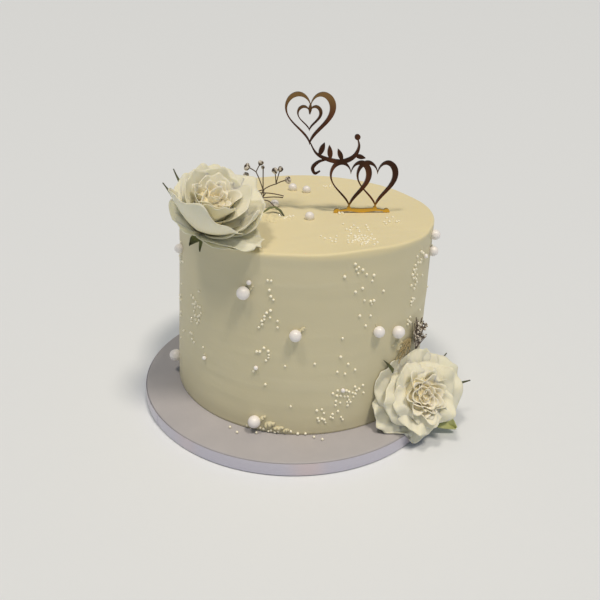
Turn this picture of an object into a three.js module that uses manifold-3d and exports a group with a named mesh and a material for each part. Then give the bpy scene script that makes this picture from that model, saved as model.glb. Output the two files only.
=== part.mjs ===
// A single-tier wedding cake, iced smooth in buttercream, on its round covered board.
// Sugar pearls and fine beads are pressed into the icing. One white rose lies on the top rim and one
// leans at the foot, each with its calyx and a sprig of small dried flowers. A cut-out topper of
// gold mirror sheet, with plain hearts and a leafy scroll, stands on the top.
// Millimetres, +Z up. The origin is the centre of the board's underside, and the front faces -Y.
import * as THREE from "three";
import { mergeVertices } from "three/addons/utils/BufferGeometryUtils.js";
import Module from "manifold-3d";

const wasm = await Module();
wasm.setup();

// Driving dimensions.
const BOARD_RADIUS = 127;
const BOARD_HEIGHT = 12;
const BOARD_EDGE = 1;
const RIBBON_THICK = 0.5;
const RIBBON_LOW = 0.8;
const GAP = 0.3;
const ROUND_SIDES = 48;

const CAKE_HEIGHT = 146;
const CAKE_FOOT = { x: 5.7, y: 12.8, radius: 106.5 };
const CAKE_TOP = { x: 9.8, y: 11.1, radius: 101.6 };
const RIM_ROUND = 1.8;
const CAKE_SIDES = 48;
// Each swell of the rim: where it is in degrees, how wide in degrees, and how high.
const RIM_SWELLS = [
  { at: -110, wide: 9, high: -1.6 },
  { at: -66, wide: 14, high: 1.9 },
  { at: -31, wide: 8, high: -1.5 },
  { at: 25, wide: 12, high: -0.9 },
  { at: 85, wide: 20, high: 0.7 },
  { at: 150, wide: 16, high: -0.8 },
];

// Large sugar pearls on the side: angle about the cake in degrees, height over the board, diameter.
const SIDE_PEARLS = [
  [-113.9, 114.4, 9.6],
  [-92.6, 86.3, 8.8],
  [-58.2, 82.7, 8.6],
  [-47.4, 76.6, 9.7],
  [-107.3, 9.5, 9.7],
  [-169.3, 16.2, 10.4],
  [-18.1, 138, 8],
  [-18.8, 125, 8],
  [-158.7, 123.1, 7.4],
  [18, 62, 9.2],
  [58, 108, 8.8],
  [92, 34, 9.6],
  [126, 86, 9],
  [163, 62, 9.4],
];
// Large pearls on the top: place from the middle of the top, diameter.
const TOP_PEARLS = [
  [-12.9, 51.7, 7.4],
  [-0.7, 45.9, 7.2],
  [1.8, -26.8, 7.2],
  [-26.5, 2.8, 7.2],
];
const PEARL_PROUD = 0.3;
const SOCKET_ROOM = 0.45;

// Middle-sized pearls that are fused to the icing.
const SMALL_PEARLS = [
  [-112.1, 122.8, 3.6],
  [-134.2, 47.9, 3.4],
  [-107.8, 55.5, 3.4],
  [-72, 38, 3.4],
  [-29, 128, 3.6],
  [115, 60, 3.4],
];
// Dabs of buttercream by the pearls and at the foot: angle, height, width, length, rise, tilt.
const SIDE_DABS = [
  [-111.4, 117.6, 2.4, 6, 1.2, -35],
  [-90.2, 89.8, 2.6, 6.4, 1.4, -50],
  [-104.3, 12.2, 3.6, 7, 2.2, -40],
  [-101.5, 7.5, 4.6, 10, 2.6, -65],
  [-97.6, 5, 3.6, 9, 2.2, -80],
  [-46, 66, 3.8, 11, 2, -55],
];
const TOP_DABS = [
  [-30, -23, 9, 16, 1.6, 62],
  [-20, -27, 8, 16, 1.4, 78],
];

// Drifts of fine beads on the side: angle, height, spread in degrees, spread in height, count.
const SIDE_BEADS = [
  [-141, 81, 6, 12, 2],
  [-102.5, 118, 3.5, 24, 2],
  [-103, 95, 6, 9, 2],
  [-103, 70, 4, 22, 2],
  [-66, 124, 11, 18, 2],
  [-63, 102, 9, 18, 1],
  [-36, 122, 5, 16, 1],
  [-38, 96, 4, 22, 2],
  [-68.5, 32, 8, 9, 5],
  [-77, 19, 9, 10, 3],
  [-159, 117, 5, 12, 1],
  [8, 88, 3, 24, 1],
  [62, 80, 3, 26, 1],
  [98, 40, 6, 8, 3],
  [150, 84, 3, 22, 1],
];
// Drifts of fine beads on the top: place from the middle, spread both ways, count.
const TOP_BEADS = [
  [38.5, -72, 12, 16, 6],
  [18, -74, 10, 12, 2],
  [36.5, -44.7, 10, 10, 2],
  [26, -12.3, 5, 5, 1],
  [-16, -24, 7, 5, 2],
  [65.3, -28.5, 10, 12, 1],
  [20, 62, 9, 7, 2],
];
const BEAD_RADIUS = 1.15;
const BEAD_PROUD = 0.35;
const BEAD_ROOM = 1.6;
const BEAD_SEED = 4127;

// The two roses: where the calyx meets the petals, which way the flower looks, its size, and the
// radius and height of its tight heart. Each petal, from the outermost inwards: bearing about the
// flower in degrees, half-width, length, its leans off the axis at foot, middle and end, and how
// far its lip rolls back in degrees.
const ROSE_TOP = {
  base: [-63.5, -62.5, 164.5],
  looks: [0.38, -0.33, 0.86],
  size: 1,
  heart: { radius: 14, height: 36 },
  petals: [
    [-30, 15, 42, 56, 74, 68, 6],
    [152, 19, 31, 44, 66, 70, 16],
    [114, 20, 44, 36, 52, 56, 10],
    [80, 26, 43, 36, 52, 54, 10],
    [52, 25, 46, 38, 56, 54, 12],
    [6, 19, 46, 50, 68, 10, 6],
    [-20, 18, 47, 50, 70, -4, 0],
    [-112, 33, 49, 58, 44, 6, 6],
  ],
};
const ROSE_FOOT = {
  base: [97.2, -63.5, 29.2],
  looks: [0.27, -0.79, 0.555],
  size: 1,
  heart: { radius: 15, height: 28 },
  petals: [
    [215, 21, 39, 56, 84, 88, 24],
    [78, 21, 38, 50, 74, 80, 24],
    [34, 26, 41, 52, 78, 84, 24],
    [148, 22, 43, 50, 80, 86, 30],
    [264, 18, 34, 52, 82, 84, 26],
    [355, 20, 34, 52, 78, 78, 30],
    [48, 22, 36, 40, 58, 20, 80],
    [258, 22, 35, 40, 58, 14, 84],
    [330, 21, 34, 36, 54, 6, 88],
  ],
};
const PETAL_THICK = 1.3;
const PETAL_ACROSS = 4;
const PETAL_ALONG = 3;
const PETAL_START = 1.5;
const PETAL_SEED = 811;
const HEART_SIDES = 8;
const CLEARANCE = 1.3;

// Sepals of each rose: bearing about the flower, length, half-width, and how far it opens.
const SEPALS_TOP = [
  [150, 41, 1.6, 68],
  [134, 47, 1.6, 62],
  [-126, 17, 3.4, 92],
  [-84, 15, 1.2, 100],
];
const SEPALS_FOOT = [
  [139, 60, 1.6, 88],
  [50, 45, 1.4, 84],
  [16, 52, 1.8, 84],
  [-33, 42, 11, 84],
  [-88, 41, 1.6, 92],
];
const SEPAL_THICK = 1.1;

// Sprigs: the thickness of their stems. The one on the top: its root and forks, which forks its
// stems join, its buds as the fork they grow from, their place and radius, and its dry leaf.
const STEM_RADIUS = 0.45;
const SPRIG_TOP = {
  root: [-29.5, 8.8, 158.6],
  forks: [
    [-25.8, 8.8, 173],
    [-15.5, 8.8, 178.1],
    [-31.3, 8.8, 187.4],
    [-31, 9, 171],
  ],
  stems: [
    [0, 1],
    [0, 2],
    [0, 3],
    [4, 0],
  ],
  buds: [
    [2, -27.4, 8.8, 194.6, 1.9],
    [2, -38.4, 8.8, 191.1, 2.3],
    [0, -25.8, 10.5, 190.7, 1.4],
    [1, -16.4, 8.8, 188.9, 2.1],
    [1, -12.1, 8.8, 190.3, 2.2],
    [1, -6.1, 8.8, 181.6, 2.4],
    [3, -36.2, 9.4, 177.6, 2.4],
    [3, -39.5, 12, 184, 2.2],
  ],
  leaf: [
    [-25.5, -10, 160],
    [-20.3, -4, 162.2],
    [-16, -1.5, 162.6],
    [-11.6, -5.5, 161.2],
    [-8.2, -14, 159.8],
  ],
  leafHalf: 1.3,
  leafThick: 0.9,
};
// The sprig at the foot: its root by angle, height and distance off the cake's side, how many
// stems it has, the angles they fan over, the height of the tallest, how far the last drops, and
// between what distances off the side their tips are drawn.
const SPRIG_FOOT = {
  root: [-34, 52, 5],
  rootRadius: 2,
  count: 8,
  angles: [-37.5, -22.5],
  tallest: 83,
  drop: 14,
  uneven: 6,
  tips: [2.6, 6.6],
  budRadius: [1.3, 1.8],
  seed: 733,
};

// The topper: its sheet thickness, where it stands and its turn about Z in degrees.
const TOPPER_SHEET = 2;
const TOPPER_FOOT = { x: 53.2, y: 4.1, turn: 6 };
const HEART_POINTS = 22;
// The leafy scroll's main branch, in x and height over the topper's foot.
const TOPPER_BRANCH = [
  [-43.5, 56],
  [-38, 47],
  [-29, 42.4],
  [-18, 40.6],
  [-9, 44.5],
  [-5.4, 52],
  [-7, 59],
];

const rad = THREE.MathUtils.degToRad;

/** A repeatable source of numbers from 0 to 1. */
function seeded(seed) {
  let state = seed;
  return () => {
    state = (state * 16807) % 2147483647;
    return state / 2147483647;
  };
}

/** A closed geometry as a solid, by its positions alone, with shared vertices merged. */
function solid(geometry) {
  const loose = geometry.index ? geometry.toNonIndexed() : geometry;
  const bare = new THREE.BufferGeometry();
  bare.setAttribute("position", loose.getAttribute("position"));
  const merged = mergeVertices(bare, 1e-3);
  return new wasm.Manifold(
    new wasm.Mesh({
      numProp: 3,
      vertProperties: merged.attributes.position.array,
      triVerts: new Uint32Array(merged.index.array),
    }),
  );
}

/** A solid as a geometry: its largest body, with loose scraps dropped and sealed hollows filled. */
function geometryOf(made) {
  const bodies = made.decompose().sort((a, b) => b.volume() - a.volume());
  const mesh = bodies[0].getMesh();
  const geometry = new THREE.BufferGeometry();
  geometry.setAttribute("position", new THREE.BufferAttribute(mesh.vertProperties, 3));
  geometry.setIndex(new THREE.BufferAttribute(mesh.triVerts, 1));
  geometry.computeVertexNormals();
  return geometry;
}

/** A turned solid about +Z, from [radius, height] pairs that run up from the axis to the axis. */
function turned(profile, sides) {
  const points = profile.map(([radius, height]) => new THREE.Vector2(radius, height));
  return new THREE.LatheGeometry(points, sides).rotateX(Math.PI / 2);
}

/** Moves every vertex of a geometry by a function of its place. */
function reshape(geometry, move) {
  const position = geometry.getAttribute("position");
  const point = new THREE.Vector3();
  for (let i = 0; i < position.count; i++) {
    move(point.fromBufferAttribute(position, i));
    position.setXYZ(i, point.x, point.y, point.z);
  }
  return geometry;
}

/** A thin wavy solid about a middle surface, with both faces split into triangles alike. */
function sheet(middle, across, along, thick) {
  const positions = [];
  const index = [];
  const step = 1e-3;
  const rows = along + 1;
  for (const side of [1, -1]) {
    for (let i = 0; i <= across; i++) {
      for (let j = 0; j <= along; j++) {
        const u = (2 * i) / across - 1;
        const v = j / along;
        const back = v > 0.5 ? -step : step;
        const inward = u > 0 ? -step : step;
        const here = middle(u, v);
        const alongU = middle(u + inward, v).sub(here).multiplyScalar(Math.sign(inward));
        const alongV = middle(u, v + back).sub(here).multiplyScalar(Math.sign(back));
        const normal = alongU.cross(alongV).normalize();
        here.addScaledVector(normal, (side * thick) / 2);
        positions.push(here.x, here.y, here.z);
      }
    }
  }
  const under = (across + 1) * rows;
  const quad = (a, b, c, d) => index.push(a, b, c, a, c, d);
  for (let i = 0; i < across; i++) {
    for (let j = 0; j < along; j++) {
      const a = i * rows + j;
      const b = a + rows;
      index.push(a, b, b + 1, a, b + 1, a + 1);
      index.push(under + a, under + b + 1, under + b, under + a, under + a + 1, under + b + 1);
    }
  }
  for (let j = 0; j < along; j++) {
    const last = across * rows + j;
    quad(j, j + 1, under + j + 1, under + j);
    quad(last + 1, last, under + last, under + last + 1);
  }
  for (let i = 0; i < across; i++) {
    const foot = i * rows;
    const edge = foot + along;
    quad(foot + rows, foot, under + foot, under + foot + rows);
    quad(edge, edge + rows, under + edge + rows, under + edge);
  }
  const geometry = new THREE.BufferGeometry();
  geometry.setAttribute("position", new THREE.Float32BufferAttribute(positions, 3));
  geometry.setIndex(index);
  return geometry;
}

/** A round bar of few sides along a curve. */
function bar(curve, radius, steps, sides) {
  const section = new THREE.Shape();
  for (let i = 0; i < sides; i++) {
    const angle = (2 * Math.PI * i) / sides;
    const x = radius * Math.cos(angle);
    const y = radius * Math.sin(angle);
    if (i) section.lineTo(x, y);
    else section.moveTo(x, y);
  }
  return new THREE.ExtrudeGeometry(section, { steps, extrudePath: curve, curveSegments: 1 });
}

// The cake's own form.

/** The cake's axis and radius at a height over the board. */
function cakeAt(height) {
  const share = height / CAKE_HEIGHT;
  return {
    x: THREE.MathUtils.lerp(CAKE_FOOT.x, CAKE_TOP.x, share),
    y: THREE.MathUtils.lerp(CAKE_FOOT.y, CAKE_TOP.y, share),
    radius: THREE.MathUtils.lerp(CAKE_FOOT.radius, CAKE_TOP.radius, share),
  };
}

/** How far the rim stands above or below its mean height at an angle in degrees. */
function rimRise(angle) {
  let rise = 0;
  for (const swell of RIM_SWELLS) {
    const away = THREE.MathUtils.euclideanModulo(angle - swell.at + 180, 360) - 180;
    rise += swell.high * Math.exp(-((away / swell.wide) ** 2));
  }
  return rise;
}

/** The cake's plain body, grown outwards by a margin. */
function cakeBody(margin) {
  const rings = [0, 55, 105, 128];
  const rimHeight = CAKE_HEIGHT - RIM_ROUND;
  const profile = [[0, GAP - margin]];
  for (const height of rings) profile.push([1, height ? height : GAP - margin]);
  for (const lean of [0, 45, 90]) {
    const round = 1 - (RIM_ROUND / CAKE_TOP.radius) * (1 - Math.cos(rad(lean)));
    profile.push([round, rimHeight + RIM_ROUND * Math.sin(rad(lean))]);
  }
  profile.push([0.84, CAKE_HEIGHT], [0, CAKE_HEIGHT]);
  return reshape(turned(profile, CAKE_SIDES), (point) => {
    const middle = cakeAt(point.z);
    const share = Math.hypot(point.x, point.y);
    const rimward = THREE.MathUtils.smoothstep(point.z, 100, CAKE_HEIGHT) * share ** 6;
    const rise = rimRise(THREE.MathUtils.radToDeg(Math.atan2(point.y, point.x))) * rimward;
    const reach = middle.radius + margin;
    const lift = point.z > rimHeight ? margin : 0;
    point.set(
      middle.x + point.x * reach,
      middle.y + point.y * reach,
      BOARD_HEIGHT + point.z + rise + lift,
    );
  });
}

/** A point off the cake's side at an angle and height, and the level way out from there. */
function sidePlace(angle, height, out) {
  const middle = cakeAt(height);
  const way = new THREE.Vector3(Math.cos(rad(angle)), Math.sin(rad(angle)), 0);
  const place = new THREE.Vector3(middle.x, middle.y, BOARD_HEIGHT + height);
  place.addScaledVector(way, middle.radius + out);
  return { place, way };
}

/** A point over the cake's top, from the middle of the top. */
function topPlace(x, y, up) {
  const place = new THREE.Vector3(CAKE_TOP.x + x, CAKE_TOP.y + y, 0);
  place.z = BOARD_HEIGHT + CAKE_HEIGHT + up;
  return { place, way: new THREE.Vector3(0, 0, 1) };
}

/** Where the middle of each large pearl is, and its radius. */
function pearlPlaces() {
  const side = SIDE_PEARLS.map(([angle, height, across]) => ({
    ...sidePlace(angle, height, across * PEARL_PROUD),
    radius: across / 2,
  }));
  const top = TOP_PEARLS.map(([x, y, across]) => ({
    ...topPlace(x, y, across * PEARL_PROUD),
    radius: across / 2,
  }));
  return [...side, ...top];
}

/** A dab of buttercream: a flattened ball turned to lie on the surface. */
function dab({ place, way }, wide, long, rise, tilt) {
  const geometry = new THREE.SphereGeometry(1, 6, 4).scale(wide / 2, long / 2, rise);
  geometry.rotateZ(rad(tilt));
  const up = new THREE.Vector3(0, 0, 1);
  geometry.applyQuaternion(new THREE.Quaternion().setFromUnitVectors(up, way));
  return geometry.translate(place.x, place.y, place.z);
}

/** The places of all the fine beads, drawn by a seeded rule about each drift's middle. */
function beadPlaces() {
  const next = seeded(BEAD_SEED);
  const draw = () => next() + next() - 1;
  const places = [];
  for (const [angle, height, wide, tall, count] of SIDE_BEADS) {
    for (let i = 0; i < count; i++) {
      const up = Math.max(height + draw() * tall, 2 * BEAD_RADIUS);
      places.push(sidePlace(angle + draw() * wide, up, BEAD_PROUD).place);
    }
  }
  for (const [x, y, wide, deep, count] of TOP_BEADS) {
    for (let i = 0; i < count; i++) {
      places.push(topPlace(x + draw() * wide, y + draw() * deep, BEAD_PROUD).place);
    }
  }
  return places;
}

/** The iced cake: its body, with dabs, small pearls and beads fused on and sockets for the pearls. */
function icedCake(neighbours) {
  const fused = [];
  for (const [angle, height, across] of SMALL_PEARLS) {
    const { place } = sidePlace(angle, height, across * PEARL_PROUD);
    fused.push(new THREE.SphereGeometry(across / 2, 6, 4).translate(place.x, place.y, place.z));
  }
  for (const [angle, height, wide, long, rise, tilt] of SIDE_DABS) {
    fused.push(dab(sidePlace(angle, height, 0), wide, long, rise, tilt));
  }
  for (const [x, y, wide, long, rise, tilt] of TOP_DABS) {
    fused.push(dab(topPlace(x, y, 0), wide, long, rise, tilt));
  }
  let cake = solid(cakeBody(0));
  for (const geometry of fused) cake = cake.add(solid(geometry));
  for (const { place, radius } of pearlPlaces()) {
    const socket = new THREE.IcosahedronGeometry(radius + SOCKET_ROOM, 1);
    cake = cake.subtract(solid(socket.translate(place.x, place.y, place.z)));
  }
  const kept = [];
  for (const place of beadPlaces()) {
    const room = solid(new THREE.IcosahedronGeometry(BEAD_ROOM, 0).translate(...place.toArray()));
    const clash = neighbours.some((other) => !room.intersect(other).isEmpty());
    const close = kept.some((other) => other.distanceTo(place) < 2 * BEAD_RADIUS + 0.2);
    if (clash || close) continue;
    kept.push(place);
    const bead = new THREE.IcosahedronGeometry(BEAD_RADIUS, 0).rotateZ(kept.length);
    cake = cake.add(solid(bead.translate(...place.toArray())));
  }
  return cake;
}

// The board and its ribbon.

/** The covered board: a thick disc whose edges are a little rounded, inside its ribbon. */
function board() {
  const radius = BOARD_RADIUS - RIBBON_THICK - GAP;
  const profile = [
    [0, 0],
    [radius - BOARD_EDGE, 0],
    [radius, BOARD_EDGE],
    [radius, BOARD_HEIGHT - BOARD_EDGE],
    [radius - BOARD_EDGE, BOARD_HEIGHT],
    [0, BOARD_HEIGHT],
  ];
  return turned(profile, ROUND_SIDES);
}

/** The ribbon round the board's edge. */
function ribbon() {
  const inner = BOARD_RADIUS - RIBBON_THICK;
  const high = BOARD_HEIGHT - RIBBON_LOW;
  const profile = [
    [inner, RIBBON_LOW],
    [BOARD_RADIUS, RIBBON_LOW],
    [BOARD_RADIUS, high],
    [inner, high],
    [inner, RIBBON_LOW],
  ];
  return turned(profile, ROUND_SIDES);
}

// The roses.

/** A flower's own axes: right and up across it, and out along the way it looks. */
function flowerFrame(rose) {
  const out = new THREE.Vector3(...rose.looks).normalize();
  const right = new THREE.Vector3(1, 0, 0).addScaledVector(out, -out.x).normalize();
  const up = new THREE.Vector3().crossVectors(out, right);
  return { right, up, out, base: new THREE.Vector3(...rose.base), size: rose.size };
}

/** A point of a flower from its bearing in radians, its distance off the axis and its height. */
function flowerPoint(frame, bearing, away, height) {
  return frame.base
    .clone()
    .addScaledVector(frame.right, Math.cos(bearing) * away * frame.size)
    .addScaledVector(frame.up, Math.sin(bearing) * away * frame.size)
    .addScaledVector(frame.out, height * frame.size);
}

/** How a petal or sepal runs out from the axis: by three lean angles, with its end rolled back. */
function runOut(leans, length, start, lip = 0) {
  const steps = 10;
  let away = start;
  let height = 0;
  for (let i = 0; i < steps; i++) {
    const part = (i + 0.5) / steps;
    const q = part * Math.min(length.done / length.full, 1.2);
    let lean = (1 - q) ** 2 * leans[0] + 2 * q * (1 - q) * leans[1] + q ** 2 * leans[2];
    lean += lip * THREE.MathUtils.smoothstep(q, 0.6, 0.86);
    away += (Math.sin(rad(lean)) * length.done) / steps;
    height += (Math.cos(rad(lean)) * length.done) / steps;
  }
  return { away, height };
}

/** The middle surface of a petal, opened from 1 for the outermost down to 0. */
function petalSurface(frame, petal, open, phase, settle) {
  const [bearing, half, full, foot, middle, end, lip] = petal;
  return (u, v) => {
    const edge = 1 - 0.3 * Math.abs(u) ** 2.6 + 0.07 * Math.exp(-((u / 0.16) ** 2));
    const roll = lip * (0.85 + 0.3 * Math.sin(2.6 * u + 2 * phase));
    const done = full * edge * v;
    const { away, height } = runOut([foot, middle, end], { done, full }, PETAL_START, roll);
    const wide = half * (0.3 + 0.7 * THREE.MathUtils.smoothstep(v, 0, 0.62));
    const swing = Math.min(wide / Math.max(away, 1), 1.75) * u;
    const curl = 1 + (1.1 * open - 0.2) * 0.4 * Math.min(swing ** 2, 1.2);
    const ripple = (0.4 + open) * Math.sin(3 * u * Math.PI + phase) * v ** 2;
    return settle(flowerPoint(frame, rad(bearing) + swing, away * curl, height + ripple));
  };
}

/** The tight heart of a rose, which its petals grow from, with a spiral fold in its top. */
function roseHeart(frame, { radius, height }) {
  const profile = [
    [0, -1],
    [radius * 0.4, -0.5],
    [radius * 0.8, height * 0.27],
    [radius, height * 0.6],
    [radius * 0.86, height],
    [radius * 0.6, height * 0.86],
    [radius * 0.4, height * 0.98],
    [0, height * 0.84],
  ];
  const turn = new THREE.Matrix4().makeBasis(frame.right, frame.up, frame.out);
  const folded = reshape(turned(profile, HEART_SIDES), (point) => {
    const bearing = Math.atan2(point.y, point.x);
    if (point.z > height / 4) point.z += Math.sin(3 * bearing + point.z);
  });
  return folded.applyMatrix4(turn).translate(...frame.base.toArray());
}

/** Lifts a point out of the cake and board by a clearance, the shorter way. */
function settler(clearance) {
  return (point) => {
    const height = THREE.MathUtils.clamp(point.z - BOARD_HEIGHT, 0, CAKE_HEIGHT);
    const middle = cakeAt(height);
    const off = new THREE.Vector2(point.x - middle.x, point.y - middle.y);
    const out = middle.radius + clearance - off.length();
    const up = BOARD_HEIGHT + CAKE_HEIGHT + clearance - point.z;
    if (out > 0 && up > 0) {
      if (up < out) {
        point.z += up;
      } else {
        off.setLength(middle.radius + clearance);
        point.x = middle.x + off.x;
        point.y = middle.y + off.y;
      }
    }
    const onBoard = Math.hypot(point.x, point.y) < BOARD_RADIUS + clearance;
    const low = onBoard ? BOARD_HEIGHT + clearance : clearance;
    point.z = Math.max(point.z, low);
    return point;
  };
}

/** A rose: its heart and main petals joined, cut clear of what it lies on. */
function rose(facts, clear) {
  const frame = flowerFrame(facts);
  const settle = settler(CLEARANCE);
  const count = facts.petals.length;
  let flower = solid(roseHeart(frame, facts.heart));
  facts.petals.forEach((petal, i) => {
    const next = seeded(PETAL_SEED + i * 7 + petal[0]);
    next();
    const surface = petalSurface(frame, petal, 1 - i / count, next() * 6, settle);
    flower = flower.add(solid(sheet(surface, PETAL_ACROSS, PETAL_ALONG, PETAL_THICK)));
  });
  return flower.subtract(clear);
}

/** A calyx: its cup below the petals, with its sepals, grown by a margin. */
function calyx(facts, sepals, margin) {
  const frame = flowerFrame(facts);
  const settle = settler(CLEARANCE);
  const profile = [
    [0, -9 - margin],
    [2.6 + margin, -8.5 - margin],
    [4.6 + margin, -4],
    [3.6 + margin, -1.6 + margin],
    [0, -1.4 + margin],
  ];
  const turn = new THREE.Matrix4().makeBasis(frame.right, frame.up, frame.out);
  const cup = turned(profile, 10).applyMatrix4(turn).translate(...frame.base.toArray());
  let green = solid(cup);
  for (const [bearing, length, half, lean] of sepals) {
    const leans = [lean, lean + 6, lean + 2];
    const surface = (u, v) => {
      const done = length * v;
      const { away, height } = runOut(leans, { done, full: length }, 2);
      const wide = (half + margin) * Math.sin(Math.PI * (0.12 + 0.8 * v));
      const swing = (wide / Math.max(away, 1)) * u;
      return settle(flowerPoint(frame, rad(bearing) + swing, away, height - 3.2));
    };
    green = green.add(solid(sheet(surface, 2, 4, SEPAL_THICK + 2 * margin)));
  }
  return green;
}

// The sprigs.

/** A stem from one point to another, bowed a little upwards. */
function stem(from, to, radius) {
  const middle = from.clone().lerp(to, 0.5);
  middle.z += 0.12 * from.distanceTo(to);
  return solid(bar(new THREE.QuadraticBezierCurve3(from, middle, to), radius, 2, 3));
}

/** The narrow dry leaf by the sprig's foot. */
function sprigLeaf(margin) {
  const line = new THREE.CatmullRomCurve3(SPRIG_TOP.leaf.map((place) => new THREE.Vector3(...place)));
  const surface = (u, v) => {
    const point = line.getPoint(v);
    const way = line.getTangent(v);
    const half = (SPRIG_TOP.leafHalf + margin) * Math.sin(Math.PI * (0.06 + 0.88 * v)) ** 0.7;
    const side = new THREE.Vector3(way.y, -way.x, 0).setLength(half * u);
    return point.add(side);
  };
  return solid(sheet(surface, 1, 6, SPRIG_TOP.leafThick + 2 * margin));
}

/** The sprig on the top, grown by a margin: forked stems with a bud at each end, and a leaf. */
function sprigTop(margin) {
  const points = [...SPRIG_TOP.forks, SPRIG_TOP.root].map((place) => new THREE.Vector3(...place));
  const root = points[points.length - 1];
  const stemRadius = STEM_RADIUS + margin;
  let sprig = sprigLeaf(margin);
  sprig = sprig.add(stem(root, new THREE.Vector3(...SPRIG_TOP.leaf[1]), stemRadius));
  for (const [from, to] of SPRIG_TOP.stems) {
    sprig = sprig.add(stem(points[from], points[to], stemRadius));
  }
  for (const [from, x, y, z, radius] of SPRIG_TOP.buds) {
    sprig = sprig.add(stem(points[from], new THREE.Vector3(x, y, z), stemRadius));
    const bud = new THREE.IcosahedronGeometry(radius + margin, 0).scale(1, 1, 1.25);
    sprig = sprig.add(solid(bud.translate(x, y, z)));
  }
  return sprig;
}

/** The sprig at the foot, grown by a margin: fine stems that fan up from behind the rose. */
function sprigFoot(margin) {
  const next = seeded(SPRIG_FOOT.seed);
  const { count, angles, tallest, drop, uneven, tips, rootRadius, budRadius } = SPRIG_FOOT;
  const root = sidePlace(...SPRIG_FOOT.root).place;
  const ball = new THREE.IcosahedronGeometry(rootRadius + margin, 0);
  let sprig = solid(ball.translate(...root.toArray()));
  for (let i = 0; i < count; i++) {
    const share = i / (count - 1);
    const angle = THREE.MathUtils.lerp(angles[0], angles[1], share);
    const height = tallest - drop * share - uneven * next();
    const tip = sidePlace(angle, height, THREE.MathUtils.lerp(...tips, next())).place;
    sprig = sprig.add(stem(root, tip, STEM_RADIUS + margin));
    const budSize = THREE.MathUtils.lerp(...budRadius, next()) + margin;
    const bud = new THREE.IcosahedronGeometry(budSize, 0);
    sprig = sprig.add(solid(bud.translate(...tip.toArray())));
  }
  return sprig;
}

// The topper.

/** Points round a heart with its own half-width on the left and on the right of its middle. */
function heartPoints(left, right, high, middle) {
  const points = [];
  for (let i = 0; i < HEART_POINTS; i++) {
    const t = (2 * Math.PI * (i + 0.5)) / HEART_POINTS;
    const lobes = 13 * Math.cos(t) - 5 * Math.cos(2 * t) - 2 * Math.cos(3 * t) - Math.cos(4 * t);
    const across = -(Math.sin(t) ** 3) * (t < Math.PI ? left : right);
    points.push(new THREE.Vector2(middle[0] + across, middle[1] + ((lobes + 2.6) * high) / 29));
  }
  return points;
}

/** A flat shape as a sheet of the topper's thickness. */
function cutOut(points, hole) {
  const shape = new THREE.Shape(points);
  if (hole) shape.holes.push(new THREE.Path(hole));
  const geometry = new THREE.ExtrudeGeometry(shape, { depth: TOPPER_SHEET, bevelEnabled: false });
  return solid(geometry.translate(0, 0, -TOPPER_SHEET / 2));
}

/** An open heart with a thin left stroke and a thick right one. */
function openHeart(wide, high, middle, thin, thick) {
  const half = wide / 2;
  const hole = heartPoints(half - thin, half - thick, high - 1.05 * (thin + thick), middle);
  return cutOut(heartPoints(half, half, high, middle), hole);
}

/** A stroke along a curve whose width swells in the middle. */
function stroke(curve, wide, steps) {
  const left = [];
  const right = [];
  for (let i = 0; i <= steps; i++) {
    const share = i / steps;
    const point = curve.getPoint(share);
    const tangent = curve.getTangent(share);
    const half = 0.45 + (wide / 2) * Math.sin(Math.PI * share) ** 1.5;
    left.push(new THREE.Vector2(point.x - tangent.y * half, point.y + tangent.x * half));
    right.unshift(new THREE.Vector2(point.x + tangent.y * half, point.y - tangent.x * half));
  }
  return cutOut([...left, ...right]);
}

/** A pointed leaf from its foot, along a bearing in degrees. */
function leaf([x, y], bearing, long, wide) {
  const way = new THREE.Vector2(Math.cos(rad(bearing)), Math.sin(rad(bearing)));
  const tip = new THREE.Vector2(x, y).addScaledVector(way, long);
  const belly = [-1, 1].map((side) => {
    const offset = new THREE.Vector2(-way.y, way.x).multiplyScalar(side * wide);
    return new THREE.Vector2(x, y).addScaledVector(way, long * 0.45).add(offset);
  });
  const out = new THREE.QuadraticBezierCurve(new THREE.Vector2(x, y), belly[0], tip);
  const back = new THREE.QuadraticBezierCurve(tip, belly[1], new THREE.Vector2(x, y));
  return cutOut([...out.getPoints(3).slice(0, 3), ...back.getPoints(3).slice(0, 3)]);
}

/** The topper's outline as one flat sheet in x and height, before it is stood up. */
function topperSheet() {
  const spline = (...pairs) => new THREE.SplineCurve(pairs.map((pair) => new THREE.Vector2(...pair)));
  const pieces = [
    openHeart(38, 39.6, [-43.5, 72.5], 1.6, 4.6),
    openHeart(19, 19, [-44, 73], 1.2, 2.4),
    openHeart(33, 38, [-10.5, 22.5], 1.6, 4.4),
    openHeart(33, 38, [10.5, 22.5], 1.6, 4.4),
    stroke(spline([-44, 76], [-43.8, 80], [-43.5, 84]), 1.6, 3),
    stroke(spline(...TOPPER_BRANCH), 2.6, 9),
    stroke(spline([-29, 42.4], [-36, 40.6], [-40.5, 36], [-38.6, 31.6], [-34.6, 33.4]), 1.8, 7),
    stroke(spline([-22, 1], [-10, 2.2], [0, 1.6], [10, 2.2], [22, 1]), 2.2, 5),
    leaf([-36, 45], 68, 11, 4),
    leaf([-27, 42], 96, 11.5, 4),
    leaf([-17.6, 41], 112, 10.5, 3.8),
    leaf([-8.4, 45.4], -12, 9, 3.4),
  ];
  for (const side of [-1, 1]) {
    pieces.push(stroke(spline([side * 10.5, 1.8], [side * 10.5, 3.6], [side * 10.5, 5.6]), 2.4, 3));
    pieces.push(cutOut(bump([side * 20, 0.6], 2.6)));
  }
  pieces.push(cutOut(bump([0, 0.6], 2.6)), cutOut(bump([-7, 59.4], 2.2)));
  return pieces.reduce((whole, piece) => whole.add(piece));
}

/** Points of a small disc. */
function bump(middle, radius) {
  const circle = new THREE.EllipseCurve(middle[0], middle[1], radius, radius);
  return circle.getPoints(7).slice(0, 7);
}

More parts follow.
